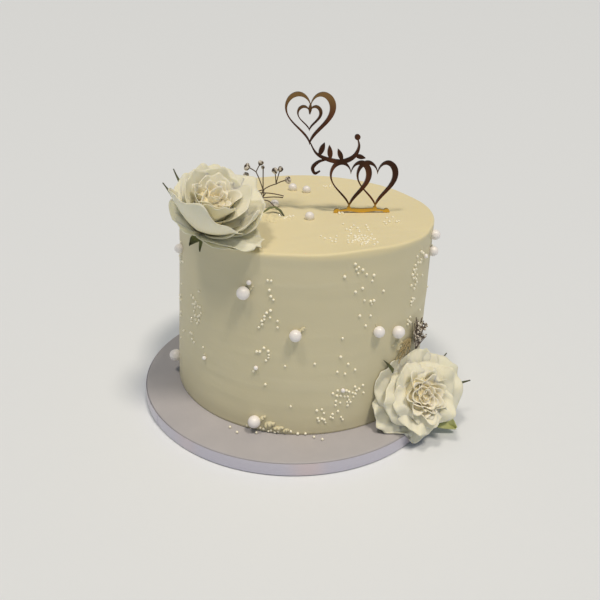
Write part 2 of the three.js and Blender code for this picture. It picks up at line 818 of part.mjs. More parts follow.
/** The topper: the sheet cut level at the foot, stood on the icing and turned. */
function topper() {
  const floor = new THREE.BoxGeometry(120, 10, 10).translate(0, -5, 0);
  const flat = topperSheet().subtract(solid(floor));
  const geometry = geometryOf(flat).rotateX(Math.PI / 2).rotateZ(rad(TOPPER_FOOT.turn));
  return geometry.translate(TOPPER_FOOT.x, TOPPER_FOOT.y, BOARD_HEIGHT + CAKE_HEIGHT + GAP);
}

// Materials, one for each finish.
const material = (colour, roughness, metalness = 0) =>
  new THREE.MeshStandardMaterial({ color: colour, roughness, metalness });
const FINISH = {
  board: material("#cbc8cc", 0.55),
  ribbon: material("#a9a9bb", 0.4),
  icing: material("#d9cfa6", 0.6),
  pearl: material("#f1eff0", 0.35),
  petal: material("#dcdccb", 0.65),
  calyx: material("#5d6a3c", 0.7),
  sprig: material("#6b6255", 0.8),
  gold: material("#8a6a35", 0.2, 1),
};

const cake = new THREE.Group();

/** Adds one named piece to the cake. */
function place(name, geometry, finish) {
  const mesh = new THREE.Mesh(geometry, finish);
  mesh.name = name;
  cake.add(mesh);
}

const overBoard = BOARD_HEIGHT + GAP;
const boardRoom = [
  [0, -1],
  [BOARD_RADIUS + GAP, -1],
  [BOARD_RADIUS + GAP, overBoard],
  [0, overBoard],
];
const clearOfCake = solid(cakeBody(GAP)).add(solid(turned(boardRoom, ROUND_SIDES)));
const clearOfTop = clearOfCake.add(calyx(ROSE_TOP, SEPALS_TOP, GAP)).add(sprigTop(GAP));
const clearOfFoot = clearOfCake.add(calyx(ROSE_FOOT, SEPALS_FOOT, GAP)).add(sprigFoot(GAP));
const roseTop = rose(ROSE_TOP, clearOfTop);
const roseFoot = rose(ROSE_FOOT, clearOfFoot);
const topSprig = sprigTop(0).subtract(clearOfCake);
const footSprig = sprigFoot(0).subtract(clearOfCake);
const calyxTop = calyx(ROSE_TOP, SEPALS_TOP, 0).subtract(clearOfCake.add(sprigTop(GAP)));
const calyxFoot = calyx(ROSE_FOOT, SEPALS_FOOT, 0).subtract(clearOfCake.add(sprigFoot(GAP)));
const topperGeometry = topper();
const pearls = pearlPlaces().map(({ place: middle, radius }) =>
  new THREE.IcosahedronGeometry(radius, 1).translate(middle.x, middle.y, middle.z),
);
const neighbours = [roseTop, roseFoot, calyxTop, calyxFoot, topSprig, footSprig];
neighbours.push(solid(topperGeometry), ...pearls.map(solid));

place("board", board(), FINISH.board);
place("board_ribbon", ribbon(), FINISH.ribbon);
place("iced_cake", geometryOf(icedCake(neighbours)), FINISH.icing);
pearls.forEach((geometry, i) => place("pearl_" + (i + 1), geometry, FINISH.pearl));
place("rose_top", geometryOf(roseTop), FINISH.petal);
place("rose_foot", geometryOf(roseFoot), FINISH.petal);
place("calyx_top", geometryOf(calyxTop), FINISH.calyx);
place("calyx_foot", geometryOf(calyxFoot), FINISH.calyx);
place("sprig_top", geometryOf(topSprig), FINISH.sprig);
place("sprig_foot", geometryOf(footSprig), FINISH.sprig);
place("topper", topperGeometry, FINISH.gold);

export default cake;
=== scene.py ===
import math

import bpy
import numpy as np
from mathutils import Matrix, Vector


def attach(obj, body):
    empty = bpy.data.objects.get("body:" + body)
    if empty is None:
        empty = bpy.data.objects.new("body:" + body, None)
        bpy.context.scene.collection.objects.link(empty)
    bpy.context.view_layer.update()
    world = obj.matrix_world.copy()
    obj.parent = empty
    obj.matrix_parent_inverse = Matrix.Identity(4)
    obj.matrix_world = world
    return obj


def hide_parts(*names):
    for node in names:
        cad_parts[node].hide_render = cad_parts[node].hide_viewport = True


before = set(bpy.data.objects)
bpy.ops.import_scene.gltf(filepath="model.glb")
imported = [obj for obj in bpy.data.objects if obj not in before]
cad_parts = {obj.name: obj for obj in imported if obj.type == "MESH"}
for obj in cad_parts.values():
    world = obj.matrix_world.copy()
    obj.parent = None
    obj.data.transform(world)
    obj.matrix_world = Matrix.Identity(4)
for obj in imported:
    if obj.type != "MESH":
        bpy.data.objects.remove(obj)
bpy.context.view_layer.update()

# The board.
# A round of stiff card wrapped in pale foil paper, which is turned over the edge and faintly
# mottled by handling. The cake stands on it, a little behind its middle.
BOARD_RADIUS = 0.1262
BOARD_HEIGHT = 0.012
BOARD_EDGE = 0.0012
BOARD_SIDES = 256
# The turn past which an edge of the board or the ribbon is shaded sharp.
SHARP_TURN = math.radians(40)


def tone(red, green, blue):
    """A colour from the eight-bit values it is seen as on a screen, in linear light."""
    seen = np.array([red, green, blue]) / 255
    linear = np.where(seen <= 0.04045, seen / 12.92, ((seen + 0.055) / 1.055) ** 2.4)
    return (*linear, 1)


class Wire:
    """One socket of a node tree, so that maths on its value is written as maths."""

    def __init__(self, tree, socket):
        self.tree = tree
        self.socket = socket

    def __add__(self, other):
        return self.tree.maths("ADD", self, other)

    def __radd__(self, other):
        return self.tree.maths("ADD", other, self)

    def __sub__(self, other):
        return self.tree.maths("SUBTRACT", self, other)

    def __rsub__(self, other):
        return self.tree.maths("SUBTRACT", other, self)

    def __mul__(self, other):
        return self.tree.maths("MULTIPLY", self, other)

    def __rmul__(self, other):
        return self.tree.maths("MULTIPLY", other, self)


class Tree:
    """A node tree, and the one way to add a node to it."""

    def __init__(self, tree):
        self.tree = tree
        self.tree.nodes.clear()

    def add(self, kind, settings=None, values=None, take=0):
        """Adds a node, makes its settings, then fills its sockets with values or wires."""
        node = self.tree.nodes.new(kind)
        for name, setting in (settings or {}).items():
            setattr(node, name, setting)
        for name, value in (values or {}).items():
            if isinstance(value, Wire):
                self.tree.links.new(value.socket, node.inputs[name])
            else:
                node.inputs[name].default_value = value
        return Wire(self, node.outputs[take]) if len(node.outputs) else None

    def maths(self, operation, first, second):
        return self.add("ShaderNodeMath", {"operation": operation}, {0: first, 1: second})

    def blend(self, share, low, high):
        """A colour between two others."""
        return self.add("ShaderNodeMix", {"data_type": "RGBA"}, {0: share, 6: low, 7: high}, 2)

    def between(self, value, low, high):
        """A soft step from 0 at low to 1 at high."""
        values = {"Value": value, "From Min": low, "From Max": high}
        return self.add("ShaderNodeMapRange", {"interpolation_type": "SMOOTHSTEP"}, values)

    def place(self, scale=(1, 1, 1)):
        """The point on the object, its coordinates multiplied by a scale."""
        point = self.add("ShaderNodeTexCoord", take="Object")
        values = {0: point, 1: scale}
        return self.add("ShaderNodeVectorMath", {"operation": "MULTIPLY"}, values)

    def noise(self, point, scale, detail=2.0, roughness=0.5):
        values = {"Vector": point, "Scale": scale, "Detail": detail, "Roughness": roughness}
        return self.add("ShaderNodeTexNoise", values=values)

    def bump(self, height, distance, strength=1.0):
        values = {"Height": height, "Distance": distance, "Strength": strength}
        return self.add("ShaderNodeBump", values=values)


def finish(name, dress):
    """A material whose surface is a principled shader with the values that dress(tree) gives."""
    material = bpy.data.materials.new(name)
    material.use_nodes = True
    tree = Tree(material.node_tree)
    surface = tree.add("ShaderNodeBsdfPrincipled", values=dress(tree))
    tree.add("ShaderNodeOutputMaterial", values={"Surface": surface})
    return material


def piece(name, parts, material=None):
    """One smooth mesh object from parts, each of corner points, faces and values per corner."""
    corners, faces, values = [], [], {}
    for points, part_faces, part_values in parts:
        faces += [tuple(len(corners) + corner for corner in face) for face in part_faces]
        corners += [tuple(point) for point in points]
        for key, numbers in part_values.items():
            values.setdefault(key, []).extend(numbers)
    mesh = bpy.data.meshes.new(name)
    mesh.from_pydata(corners, [], faces)
    mesh.shade_smooth()
    for key, numbers in values.items():
        mesh.attributes.new(key, "FLOAT", "POINT").data.foreach_set("value", numbers)
    if material:
        mesh.materials.append(material)
    made = bpy.data.objects.new(name, mesh)
    bpy.context.scene.collection.objects.link(made)
    return made


def skin(rows):
    """A closed part over rings of points that run upwards, with its first and last ring capped."""
    count, sides = rows.shape[:2]
    faces = [tuple(range(sides))[::-1], tuple(range((count - 1) * sides, count * sides))]
    for row in range(count - 1):
        for side in range(sides):
            low, after = row * sides, (side + 1) % sides
            faces.append((low + side, low + after, low + sides + after, low + sides + side))
    return rows.reshape(-1, 3), faces, {}


def turned(profile, sides):
    """Rings of points about the Z axis, one for each radius and height of a profile."""
    angles = np.linspace(0, 2 * np.pi, sides, endpoint=False)
    profile = np.array(profile)
    radius, height = profile[:, :1], profile[:, 1:]
    level = height + 0 * angles
    return np.stack([radius * np.cos(angles), radius * np.sin(angles), level], axis=-1)


def paper_look(tree):
    mottle = tree.noise(tree.place(), 38, 4)
    worn = tree.noise(tree.place(), 9, 2)
    colour = tree.blend(mottle, tone(167, 165, 170), tone(184, 181, 185))
    colour = tree.blend(tree.between(worn, 0.5, 0.75) * 0.4, colour, tone(170, 163, 160))
    return {
        "Base Color": colour,
        "Roughness": 0.42 + mottle * 0.2,
        "Specular IOR Level": 0.4,
        "Normal": tree.bump(tree.noise(tree.place(), 420, 2), 0.0002, 0.35),
    }


edge_turn = np.radians(np.linspace(0, 90, 5))
low_edge = [
    (BOARD_RADIUS - BOARD_EDGE * (1 - math.sin(lean)), BOARD_EDGE * (1 - math.cos(lean)))
    for lean in edge_turn
]
high_edge = [(radius, BOARD_HEIGHT - height) for radius, height in low_edge[::-1]]
board_paper = finish("board_paper", paper_look)
board = piece("board_covered", [skin(turned(low_edge + high_edge, BOARD_SIDES))], board_paper)
board.data.set_sharp_from_angle(angle=SHARP_TURN)
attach(board, "root")
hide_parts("board")

# The ribbon.
# A satin ribbon, pale lilac, glued round the board's edge. Its end laps over its start with a
# straight cut, and the weave shows as fine threads along it.
RIBBON_INNER = 0.12655
RIBBON_SHEET = 0.00022
RIBBON_LOW = 0.0009
RIBBON_HIGH = 0.0111
RIBBON_START = math.radians(-153)
RIBBON_LAP = math.radians(7)
RIBBON_LAP_LIFT = 0.0002
RIBBON_STEPS = 400
# How far the ribbon's own edges round off, inwards and up or down.
RIBBON_SOFT_IN = 0.00006
RIBBON_SOFT_DOWN = 0.0003


def satin_look(tree):
    threads = tree.noise(tree.place((40, 40, 900)), 6, 2)
    folds = tree.noise(tree.place((1, 1, 0.2)), 16, 1)
    colour = tree.blend(threads, tone(184, 182, 200), tone(212, 210, 224))
    # The pinkish patches that the folds noise mixes in are painted reflections on the satin, not its
    # own colour.
    colour = tree.blend(tree.between(folds, 0.45, 0.7) * 0.5, colour, tone(226, 200, 194))
    return {
        "Base Color": colour,
        "Roughness": 0.34,
        "Sheen Weight": 0.25,
        "Normal": tree.bump(threads, 0.00008, 0.5),
    }


ribbon_rows = []
for step in range(RIBBON_STEPS + 1):
    run = (2 * math.pi + RIBBON_LAP) * step / RIBBON_STEPS
    lap = min(max((run - 2 * math.pi + RIBBON_LAP / 2) / (RIBBON_LAP / 2), 0), 1)
    inner = RIBBON_INNER + RIBBON_LAP_LIFT * lap * lap * (3 - 2 * lap)
    outer = inner + RIBBON_SHEET
    middle = (RIBBON_LOW + RIBBON_HIGH) / 2
    section = [
        (inner, RIBBON_LOW),
        (inner, RIBBON_HIGH),
        (outer - RIBBON_SOFT_IN, RIBBON_HIGH),
        (outer, RIBBON_HIGH - RIBBON_SOFT_DOWN),
        (outer, middle),
        (outer, RIBBON_LOW + RIBBON_SOFT_DOWN),
        (outer - RIBBON_SOFT_IN, RIBBON_LOW),
    ]
    way = (math.cos(RIBBON_START + run), math.sin(RIBBON_START + run))
    ribbon_rows.append([(reach * way[0], reach * way[1], height) for reach, height in section])
ribbon_satin = finish("ribbon_satin", satin_look)
ribbon = piece("board_satin_ribbon", [skin(np.array(ribbon_rows))], ribbon_satin)
ribbon.data.set_sharp_from_angle(angle=SHARP_TURN)
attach(ribbon, "root")
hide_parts("board_ribbon")

# The iced cake.
# A round cake covered in cream buttercream, drawn smooth with a scraper turned round it. The
# scraper leaves faint level bands on the side, the knife shallow arcs on the top and a rim
# that swells and dips.
CAKE_HEIGHT = 0.146
CAKE_LIFT = 0.0003
FOOT_MIDDLE = np.array([0.0057, 0.0128])
TOP_MIDDLE = np.array([0.0098, 0.0111])
FOOT_RADIUS = 0.1065
TOP_RADIUS = 0.1016
RIM_ROUND = 0.0018
CAKE_SIDES = 360
SIDE_ROWS = 96
RIM_ROWS = 7
TOP_ROWS = 64
# The radius of the innermost ring of the top, as a share of the top's radius.
TOP_INNERMOST = 0.004
# The point that the knife was swung about, and how many arcs it left to a metre.
ARC_CENTRE = (0.16, -0.34, 0.16)
ARC_COUNT = 90
# How far below the top the painted light on the top starts to lighten and warm the side's colour,
# and where it is full.
TOP_PAINTED_LIGHT = (0.006, 0.0002)
# Each swell of the rim: where it is in degrees, how wide in degrees, and how high.
RIM_SWELLS = [
    (-110, 9, -0.0016),
    (-66, 14, 0.0019),
    (-31, 8, -0.0015),
    (25, 12, -0.0009),
    (85, 20, 0.0007),
    (150, 16, -0.0008),
]


def soft_step(value, low, high):
    share = np.clip((value - low) / (high - low), 0, 1)
    return share * share * (3 - 2 * share)


def cake_round(height):
    """The cake's middle and radius at a height over the board."""
    share = np.asarray(height)[..., None] / CAKE_HEIGHT
    middle = FOOT_MIDDLE + (TOP_MIDDLE - FOOT_MIDDLE) * share
    return middle, FOOT_RADIUS + (TOP_RADIUS - FOOT_RADIUS) * share


def rim_rise(angle, height, share):
    """How far the icing stands above its mean height, near the rim."""
    rise = 0
    for at, wide, high in RIM_SWELLS:
        away = (np.degrees(angle) - at + 180) % 360 - 180
        rise = rise + high * np.exp(-((away / wide) ** 2))
    return rise * soft_step(height, 0.1, CAKE_HEIGHT) * share ** 6


def cake_point(angle, height, share=1.0, out=0.0):
    """A point of the cake's skin: share is 1 on the side and 0 in the middle of the top."""
    angle, height = np.broadcast_arrays(angle, height)
    middle, radius = cake_round(height)
    way = np.stack([np.cos(angle), np.sin(angle)], axis=-1)
    flat = middle + way * (radius * np.asarray(share)[..., None] + np.asarray(out)[..., None])
    rise = rim_rise(angle, height, share)
    return np.concatenate([flat, (BOARD_HEIGHT + height + rise)[..., None]], axis=-1)


def tree_for(name, sizes):
    """A new Geometry Nodes tree with a geometry input and named sizes, and those as wires."""
    group = bpy.data.node_groups.new(name, "GeometryNodeTree")
    group.interface.new_socket("Geometry", in_out="INPUT", socket_type="NodeSocketGeometry")
    for label in sizes:
        group.interface.new_socket(label, in_out="INPUT", socket_type="NodeSocketFloat")
    group.interface.new_socket("Geometry", in_out="OUTPUT", socket_type="NodeSocketGeometry")
    tree = Tree(group)
    source = group.nodes.new("NodeGroupInput")
    return tree, {socket.name: Wire(tree, socket) for socket in source.outputs if socket.name}


def grown(made, tree, sizes):
    """Grows a Geometry Nodes tree on an object and leaves the result as its plain mesh."""
    modifier = made.modifiers.new("grown", "NODES")
    modifier.node_group = tree.tree
    for socket in tree.tree.interface.items_tree:
        if socket.name in sizes:
            modifier[socket.identifier] = sizes[socket.name]
    bpy.context.view_layer.update()
    graph = bpy.context.evaluated_depsgraph_get()
    mesh = bpy.data.meshes.new_from_object(made.evaluated_get(graph), depsgraph=graph)
    made.modifiers.remove(modifier)
    made.data = mesh
    return made


def close(tree, geometry, material):
    """Ends a Geometry Nodes tree: real faces, shaded smooth, in one material."""
    whole = tree.add("GeometryNodeRealizeInstances", values={"Geometry": geometry})
    smooth = tree.add("GeometryNodeSetShadeSmooth", values={"Geometry": whole})
    values = {"Geometry": smooth, "Material": material}
    tree.add("NodeGroupOutput", values={0: tree.add("GeometryNodeSetMaterial", values=values)})


def icing_look(tree):
    broad = tree.noise(tree.place(), 11, 2)
    bands = tree.noise(tree.place((2, 2, 30)), 3, 2)
    grain = tree.noise(tree.place(), 900, 2)
    # The top is painted lighter and warmer than the side: painted light from above, held in the
    # icing's colour.
    above = tree.add("ShaderNodeSeparateXYZ", values={0: tree.place()}, take=2)
    rim = BOARD_HEIGHT + CAKE_HEIGHT
    above = tree.between(above, rim - TOP_PAINTED_LIGHT[0], rim - TOP_PAINTED_LIGHT[1])
    side = tree.blend(broad, tone(210, 202, 170), tone(217, 210, 180))
    side = tree.blend(tree.between(bands, 0.55, 0.8) * 0.35, side, tone(226, 220, 194))
    colour = tree.blend(above, side, tree.blend(broad, tone(228, 216, 174), tone(234, 223, 185)))
    height = bands * 0.7 + grain * 0.1 + tree.noise(tree.place((1, 1, 2.5)), 60, 3) * 0.4
    return {
        "Base Color": colour,
        "Roughness": 0.5 + bands * 0.12,
        "Subsurface Weight": 0.15,
        "Subsurface Radius": (0.8, 0.7, 0.4),
        "Subsurface Scale": 0.003,
        "Specular IOR Level": 0.35,
        "Normal": tree.bump(height, 0.0007, 0.5),
    }


icing = finish("buttercream", icing_look)
angles = np.linspace(-np.pi, np.pi, CAKE_SIDES, endpoint=False)
straight = CAKE_HEIGHT - RIM_ROUND
cake_rows = []
for height in np.linspace(CAKE_LIFT, straight, SIDE_ROWS):
    cake_rows.append(cake_point(angles, height))
for lean in np.radians(np.linspace(0, 90, RIM_ROWS + 1)[1:]):
    share = 1 - RIM_ROUND / TOP_RADIUS * (1 - math.cos(lean))
    cake_rows.append(cake_point(angles, straight + RIM_ROUND * math.sin(lean), share))
for share in np.linspace(1 - RIM_ROUND / TOP_RADIUS, TOP_INNERMOST, TOP_ROWS + 1)[1:]:
    cake_rows.append(cake_point(angles, CAKE_HEIGHT, share))

relief, inlet = tree_for("icing_relief", ["Unevenness", "Bands", "Arcs"])
facing = relief.add("GeometryNodeInputNormal")
spot = relief.add("GeometryNodeInputPosition")
level = relief.add("ShaderNodeSeparateXYZ", values={0: facing}, take=2)
level = relief.between(level, 0.5, 0.95)


def stretched(scale, size, detail):
    """Noise over the cake whose patches are stretched, from -1 to 1."""
    point = relief.add("ShaderNodeVectorMath", {"operation": "MULTIPLY"}, {0: spot, 1: scale})
    return relief.noise(point, size, detail) * 2 - 1


values = {0: spot, 1: ARC_CENTRE}
arc_reach = relief.add("ShaderNodeVectorMath", {"operation": "DISTANCE"}, values, "Value")
arc_point = relief.add("ShaderNodeCombineXYZ", values={0: arc_reach * ARC_COUNT})
rise = stretched((1, 1, 1.6), 16, 2) * inlet["Unevenness"]
rise = rise + stretched((4, 4, 90), 1, 1) * inlet["Bands"] * (1 - level)
rise = rise + (relief.noise(arc_point, 1, 2) * 2 - 1) * inlet["Arcs"] * level
offset = relief.add("ShaderNodeVectorMath", {"operation": "SCALE"}, {0: facing, "Scale": rise})
values = {"Geometry": inlet["Geometry"], "Offset": offset}
close(relief, relief.add("GeometryNodeSetPosition", values=values), icing)
cake = piece("iced_cake_smooth", [skin(np.array(cake_rows))], icing)
grown(cake, relief, {"Unevenness": 0.0006, "Bands": 0.00025, "Arcs": 0.0003})
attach(cake, "root")
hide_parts("iced_cake")

# Dabs of buttercream.
# Small smears that the palette knife and the fingers leave: where a pearl was pushed in, at the
# foot where the cake was sealed to the board, and under the sprig on the top.
# Each: angle in degrees, height, width, length, rise, tilt in degrees.
SIDE_DABS = [
    (-111.4, 0.1176, 0.0024, 0.006, 0.0012, -35),
    (-90.2, 0.0898, 0.0026, 0.0064, 0.0014, -50),
    (-104.3, 0.0122, 0.0036, 0.007, 0.0022, -40),
    (-101.5, 0.0075, 0.0046, 0.010, 0.0026, -65),
    (-97.6, 0.0050, 0.0036, 0.009, 0.0022, -80),
    (-94.4, 0.0038, 0.0026, 0.006, 0.0016, -70),
    (-58.9, 0.0868, 0.0014, 0.0036, 0.001, 8),
    (-107.8, 0.0532, 0.0026, 0.004, 0.0012, 20),
    (-134.6, 0.0502, 0.0022, 0.0036, 0.001, -30),
    (-46, 0.066, 0.0038, 0.011, 0.0020, -55),
    (-43.5, 0.0605, 0.003, 0.009, 0.0018, -35),
]
# Each on the top: place from its middle, width, length, rise, tilt.
TOP_DABS = [
    (-0.030, -0.023, 0.009, 0.016, 0.0016, 62),
    (-0.020, -0.027, 0.008, 0.016, 0.0014, 78),
    (-0.028, -0.034, 0.004, 0.012, 0.0012, 50),
]
DAB_ROWS = 12
DAB_SIDES = 28
# How far down a heap's side goes from its top, so that its edge lies in the icing.
DAB_TURN = math.radians(100)


def top_point(x, y, up=0.0):
    """A point over the cake's top, from the middle of the top."""
    share = math.hypot(x, y) / TOP_RADIUS
    rise = rim_rise(math.atan2(y, x), CAKE_HEIGHT, share)
    return np.array([TOP_MIDDLE[0] + x, TOP_MIDDLE[1] + y, BOARD_HEIGHT + CAKE_HEIGHT + rise + up])


def side_point(angle, height, out=0.0):
    """A point off the cake's side, from an angle in degrees."""
    return cake_point(math.radians(angle), height, 1.0, out)


def smear(middle, way, wide, long, rise, tilt):
    """A soft ridged heap that lies on the surface which faces the given way."""
    way = Vector(way)
    turn = np.array(way.to_track_quat("Z", "Y").to_matrix())
    lean = math.radians(tilt)
    around = np.linspace(0, 2 * np.pi, DAB_SIDES, endpoint=False)
    rows = []
    for row in range(DAB_ROWS):
        drop = DAB_TURN * (1 - (row + 0.5) / DAB_ROWS)
        ripple = 1 + 0.12 * np.sin(3 * around + tilt) + 0.06 * np.sin(7 * around + 2 * tilt)
        x = np.sin(drop) * np.cos(around) * wide / 2 * ripple
        y = np.sin(drop) * np.sin(around) * long / 2 * ripple
        z = rise * (np.cos(drop) * (1 + 0.3 * np.sin(y / long * 19)) - 0.1)
        flat = np.stack([x * math.cos(lean) - y * math.sin(lean),
                         x * math.sin(lean) + y * math.cos(lean), z], axis=-1)
        rows.append(flat @ turn.T + middle)
    return skin(np.array(rows))


dab_parts = []
for angle, height, wide, long, rise, tilt in SIDE_DABS:
    way = (math.cos(math.radians(angle)), math.sin(math.radians(angle)), 0)
    dab_parts.append(smear(side_point(angle, height), way, wide, long, rise, tilt))
for x, y, wide, long, rise, tilt in TOP_DABS:
    dab_parts.append(smear(top_point(x, y), (0, 0, 1), wide, long, rise, tilt))
dabs = piece("icing_dabs", dab_parts, icing)
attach(dabs, "root")
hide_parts("iced_cake")

# Sugar pearls.
# Rolled sugar pearls with a soft sheen, in three sizes, pressed a third of the way into the
# icing by hand, and never quite round. The finest are strewn on in loose drifts.
# Each large pearl on the side: angle in degrees, height over the board, diameter.
SIDE_PEARLS = [
    (-113.9, 0.1144, 0.0096),
    (-92.6, 0.0863, 0.0088),
    (-58.2, 0.0827, 0.0086),
    (-47.4, 0.0766, 0.0097),
    (-107.3, 0.0095, 0.0097),
    (-169.3, 0.0162, 0.0104),
    (-18.1, 0.138, 0.008),
    (-18.8, 0.125, 0.008),
    (-158.7, 0.1231, 0.0074),
    (18, 0.062, 0.0092),
    (58, 0.108, 0.0088),
    (92, 0.034, 0.0096),
    (126, 0.086, 0.009),
    (163, 0.062, 0.0094),
]
# Each large pearl on the top: place from its middle, diameter.
TOP_PEARLS = [
    (-0.0129, 0.0517, 0.0074),
    (-0.0007, 0.0459, 0.0072),
    (0.0018, -0.0268, 0.0072),
    (-0.0265, 0.0028, 0.0072),
]
PEARL_PROUD = 0.3
SMALL_PEARLS = [
    (-112.1, 0.1228, 0.0036),
    (-134.2, 0.0479, 0.0034),
    (-107.8, 0.0555, 0.0034),
    (-72, 0.038, 0.0034),
    (-29, 0.128, 0.0036),
    (115, 0.060, 0.0034),
]
# Each drift of beads on the side: angle, height, spread in degrees, spread in height, count.
SIDE_BEADS = [
    (-141, 0.081, 6, 0.012, 22),
    (-144, 0.062, 5, 0.016, 6),
    (-102.5, 0.118, 3.5, 0.024, 6),
    (-103, 0.095, 6, 0.009, 9),
    (-103, 0.070, 4, 0.022, 6),
    (-66, 0.124, 11, 0.018, 13),
    (-63, 0.102, 9, 0.018, 6),
    (-36, 0.122, 5, 0.016, 18),
    (-38, 0.096, 4, 0.022, 16),
    (-68.5, 0.032, 8, 0.009, 34),
    (-77, 0.019, 9, 0.010, 20),
    (-72, 0.064, 12, 0.016, 5),
    (-104, 0.060, 9, 0.020, 4),
    (-159, 0.117, 5, 0.012, 12),
    (-161, 0.080, 5, 0.040, 10),
    (-99, 0.0024, 14, 0.002, 14),
    (8, 0.088, 3, 0.024, 14),
    (62, 0.080, 3, 0.026, 16),
    (98, 0.040, 6, 0.008, 14),
    (150, 0.084, 3, 0.022, 14),
]
# Each drift on the top: place from its middle, spread both ways, count.
TOP_BEADS = [
    (0.0385, -0.072, 0.012, 0.016, 64),
    (0.018, -0.074, 0.010, 0.012, 10),
    (0.0365, -0.0447, 0.010, 0.010, 14),
    (0.026, -0.0123, 0.005, 0.005, 8),
    (-0.016, -0.024, 0.007, 0.005, 20),
    (0.0653, -0.0285, 0.010, 0.012, 8),
    (0.020, 0.062, 0.009, 0.007, 16),
]
# Beads that rolled onto the board: angle, and how far off the cake's side.
BOARD_BEADS = [(-117, 0.006), (-113, 0.009), (-106, 0.004), (-83, 0.004), (-80, 0.0075), (70, 0.006)]
# Single beads that strayed from the drifts: the range of their angles and heights, count.
STRAY_BEADS = ((-175, 175), (0.006, 0.138), 46)
BEAD_RADIUS = 0.001
BEAD_PROUD = 0.00035
# The lowest that the middle of a bead on the side lies over the board.
BEAD_LOWEST = 0.00145
BEAD_SEED = 4127
# How near the middle of a small pearl the beads may come, less their own radius.
SMALL_ROOM = 0.0018
# How far a ball is turned about each axis at most, the seed of its turn, and how closely its
# uneven patches follow one another.
BALL_TURNS = (6.28, 0.6, 6.28)
BALL_SEED = 5
BALL_PATCHES = 0.7


def seeded(seed):
    """A repeatable run of numbers from 0 to 1."""
    state = seed
    while True:
        state = state * 16807 % 2147483647
        yield state / 2147483647


def pearl_look(tree):
    cloud = tree.noise(tree.place(), 170, 2)
    return {
        "Base Color": tree.blend(cloud, tone(236, 232, 234), tone(246, 243, 240)),
        "Roughness": 0.28 + cloud * 0.12,
        "Coat Weight": 0.25,
        "Coat Roughness": 0.2,
        "Subsurface Weight": 0.1,
        "Subsurface Radius": (0.9, 0.8, 0.9),
        "Subsurface Scale": 0.002,
    }


def balls(name, places, sizes, material, split, unevenness, tall=1.0):
    """Slightly uneven balls at points, made by instancing one ball on each."""
    tree, inlet = tree_for(name + "_rolled", ["Unevenness", "Patch", "Tall"])
    ball = tree.add("GeometryNodeMeshIcoSphere", values={"Radius": 1.0, "Subdivisions": split})
    size = tree.add("GeometryNodeInputNamedAttribute", values={"Name": "size"})
    values = {0: size, 1: size, 2: size * inlet["Tall"]}
    scale = tree.add("ShaderNodeCombineXYZ", values=values)
    values = {"Min": (0.0, 0.0, 0.0), "Max": BALL_TURNS, "Seed": BALL_SEED}
    turn = tree.add("FunctionNodeRandomValue", {"data_type": "FLOAT_VECTOR"}, values)
    values = {"Points": inlet["Geometry"], "Instance": ball, "Rotation": turn, "Scale": scale}
    strewn = tree.add("GeometryNodeInstanceOnPoints", values=values)
    whole = tree.add("GeometryNodeRealizeInstances", values={"Geometry": strewn})
    spot = tree.add("GeometryNodeInputPosition")
    facing = tree.add("GeometryNodeInputNormal")
    rise = (tree.noise(spot, inlet["Patch"], 1) * 2 - 1) * inlet["Unevenness"]
    offset = tree.add("ShaderNodeVectorMath", {"operation": "SCALE"}, {0: facing, "Scale": rise})
    shaped = tree.add("GeometryNodeSetPosition", values={"Geometry": whole, "Offset": offset})
    close(tree, shaped, material)
    made = piece(name, [(places, [], {"size": sizes})])
    mean = float(np.mean(sizes))
    sizes = {"Unevenness": unevenness * mean, "Patch": BALL_PATCHES / mean, "Tall": tall}
    return grown(made, tree, sizes)


sugar = finish("pearl_sugar", pearl_look)
pearl_places = [side_point(angle, up, size * PEARL_PROUD) for angle, up, size in SIDE_PEARLS]
pearl_places += [top_point(x, y, size * PEARL_PROUD) for x, y, size in TOP_PEARLS]
pearl_sizes = [size / 2 for *_, size in SIDE_PEARLS + TOP_PEARLS]
pearls = balls("sugar_pearls", pearl_places, pearl_sizes, sugar, split=5, unevenness=0.05)
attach(pearls, "root")
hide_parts(*[f"pearl_{number + 1}" for number in range(len(pearl_places))])

small_places = [side_point(angle, up, size * PEARL_PROUD) for angle, up, size in SMALL_PEARLS]
small_sizes = [size / 2 for *_, size in SMALL_PEARLS]
small = balls("sugar_pearls_small", small_places, small_sizes, sugar, split=4, unevenness=0.05)
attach(small, "root")
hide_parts("iced_cake")

draw = seeded(BEAD_SEED)
bead_places = []
all_pearls = list(zip(pearl_places, pearl_sizes)) + [(place, SMALL_ROOM) for place in small_places]


def bead_look(tree):
    cloud = tree.noise(tree.place(), 300, 1)
    return {
        "Base Color": tree.blend(cloud, tone(250, 243, 216), tone(253, 250, 236)),
        "Roughness": 0.3,
        "Coat Weight": 0.2,
    }


def strew(place):
    """Keeps a bead's place where it lies clear of the pearls and of the other beads."""
    for other, size in all_pearls:
        if np.linalg.norm(place - other) < size + BEAD_RADIUS:
            return
    for other in bead_places:
        if np.linalg.norm(place - other) < 2 * BEAD_RADIUS:
            return
    bead_places.append(place)


def scatter():
    """A number from -1 to 1, most often near 0."""
    return next(draw) + next(draw) - 1


for angle, height, wide, tall, count in SIDE_BEADS:
    for _ in range(count):
        up = max(height + scatter() * tall, BEAD_LOWEST)
        strew(side_point(angle + scatter() * wide, up, BEAD_PROUD))
(first, last), (lowest, highest), count = STRAY_BEADS
for _ in range(count):
    angle = first + (last - first) * next(draw)
    strew(side_point(angle, lowest + (highest - lowest) * next(draw), BEAD_PROUD))
for angle, out in BOARD_BEADS:
    strew(side_point(angle, BEAD_RADIUS, out))
for x, y, wide, deep, count in TOP_BEADS:
    for _ in range(count):
        strew(top_point(x + scatter() * wide, y + scatter() * deep, BEAD_PROUD))
bead_sizes = [BEAD_RADIUS * (0.85 + 0.3 * next(draw)) for _ in bead_places]
bead_sugar = finish("bead_sugar", bead_look)
beads = balls("sugar_beads", bead_places, bead_sizes, bead_sugar, split=2, unevenness=0.02)
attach(beads, "root")
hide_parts("iced_cake")

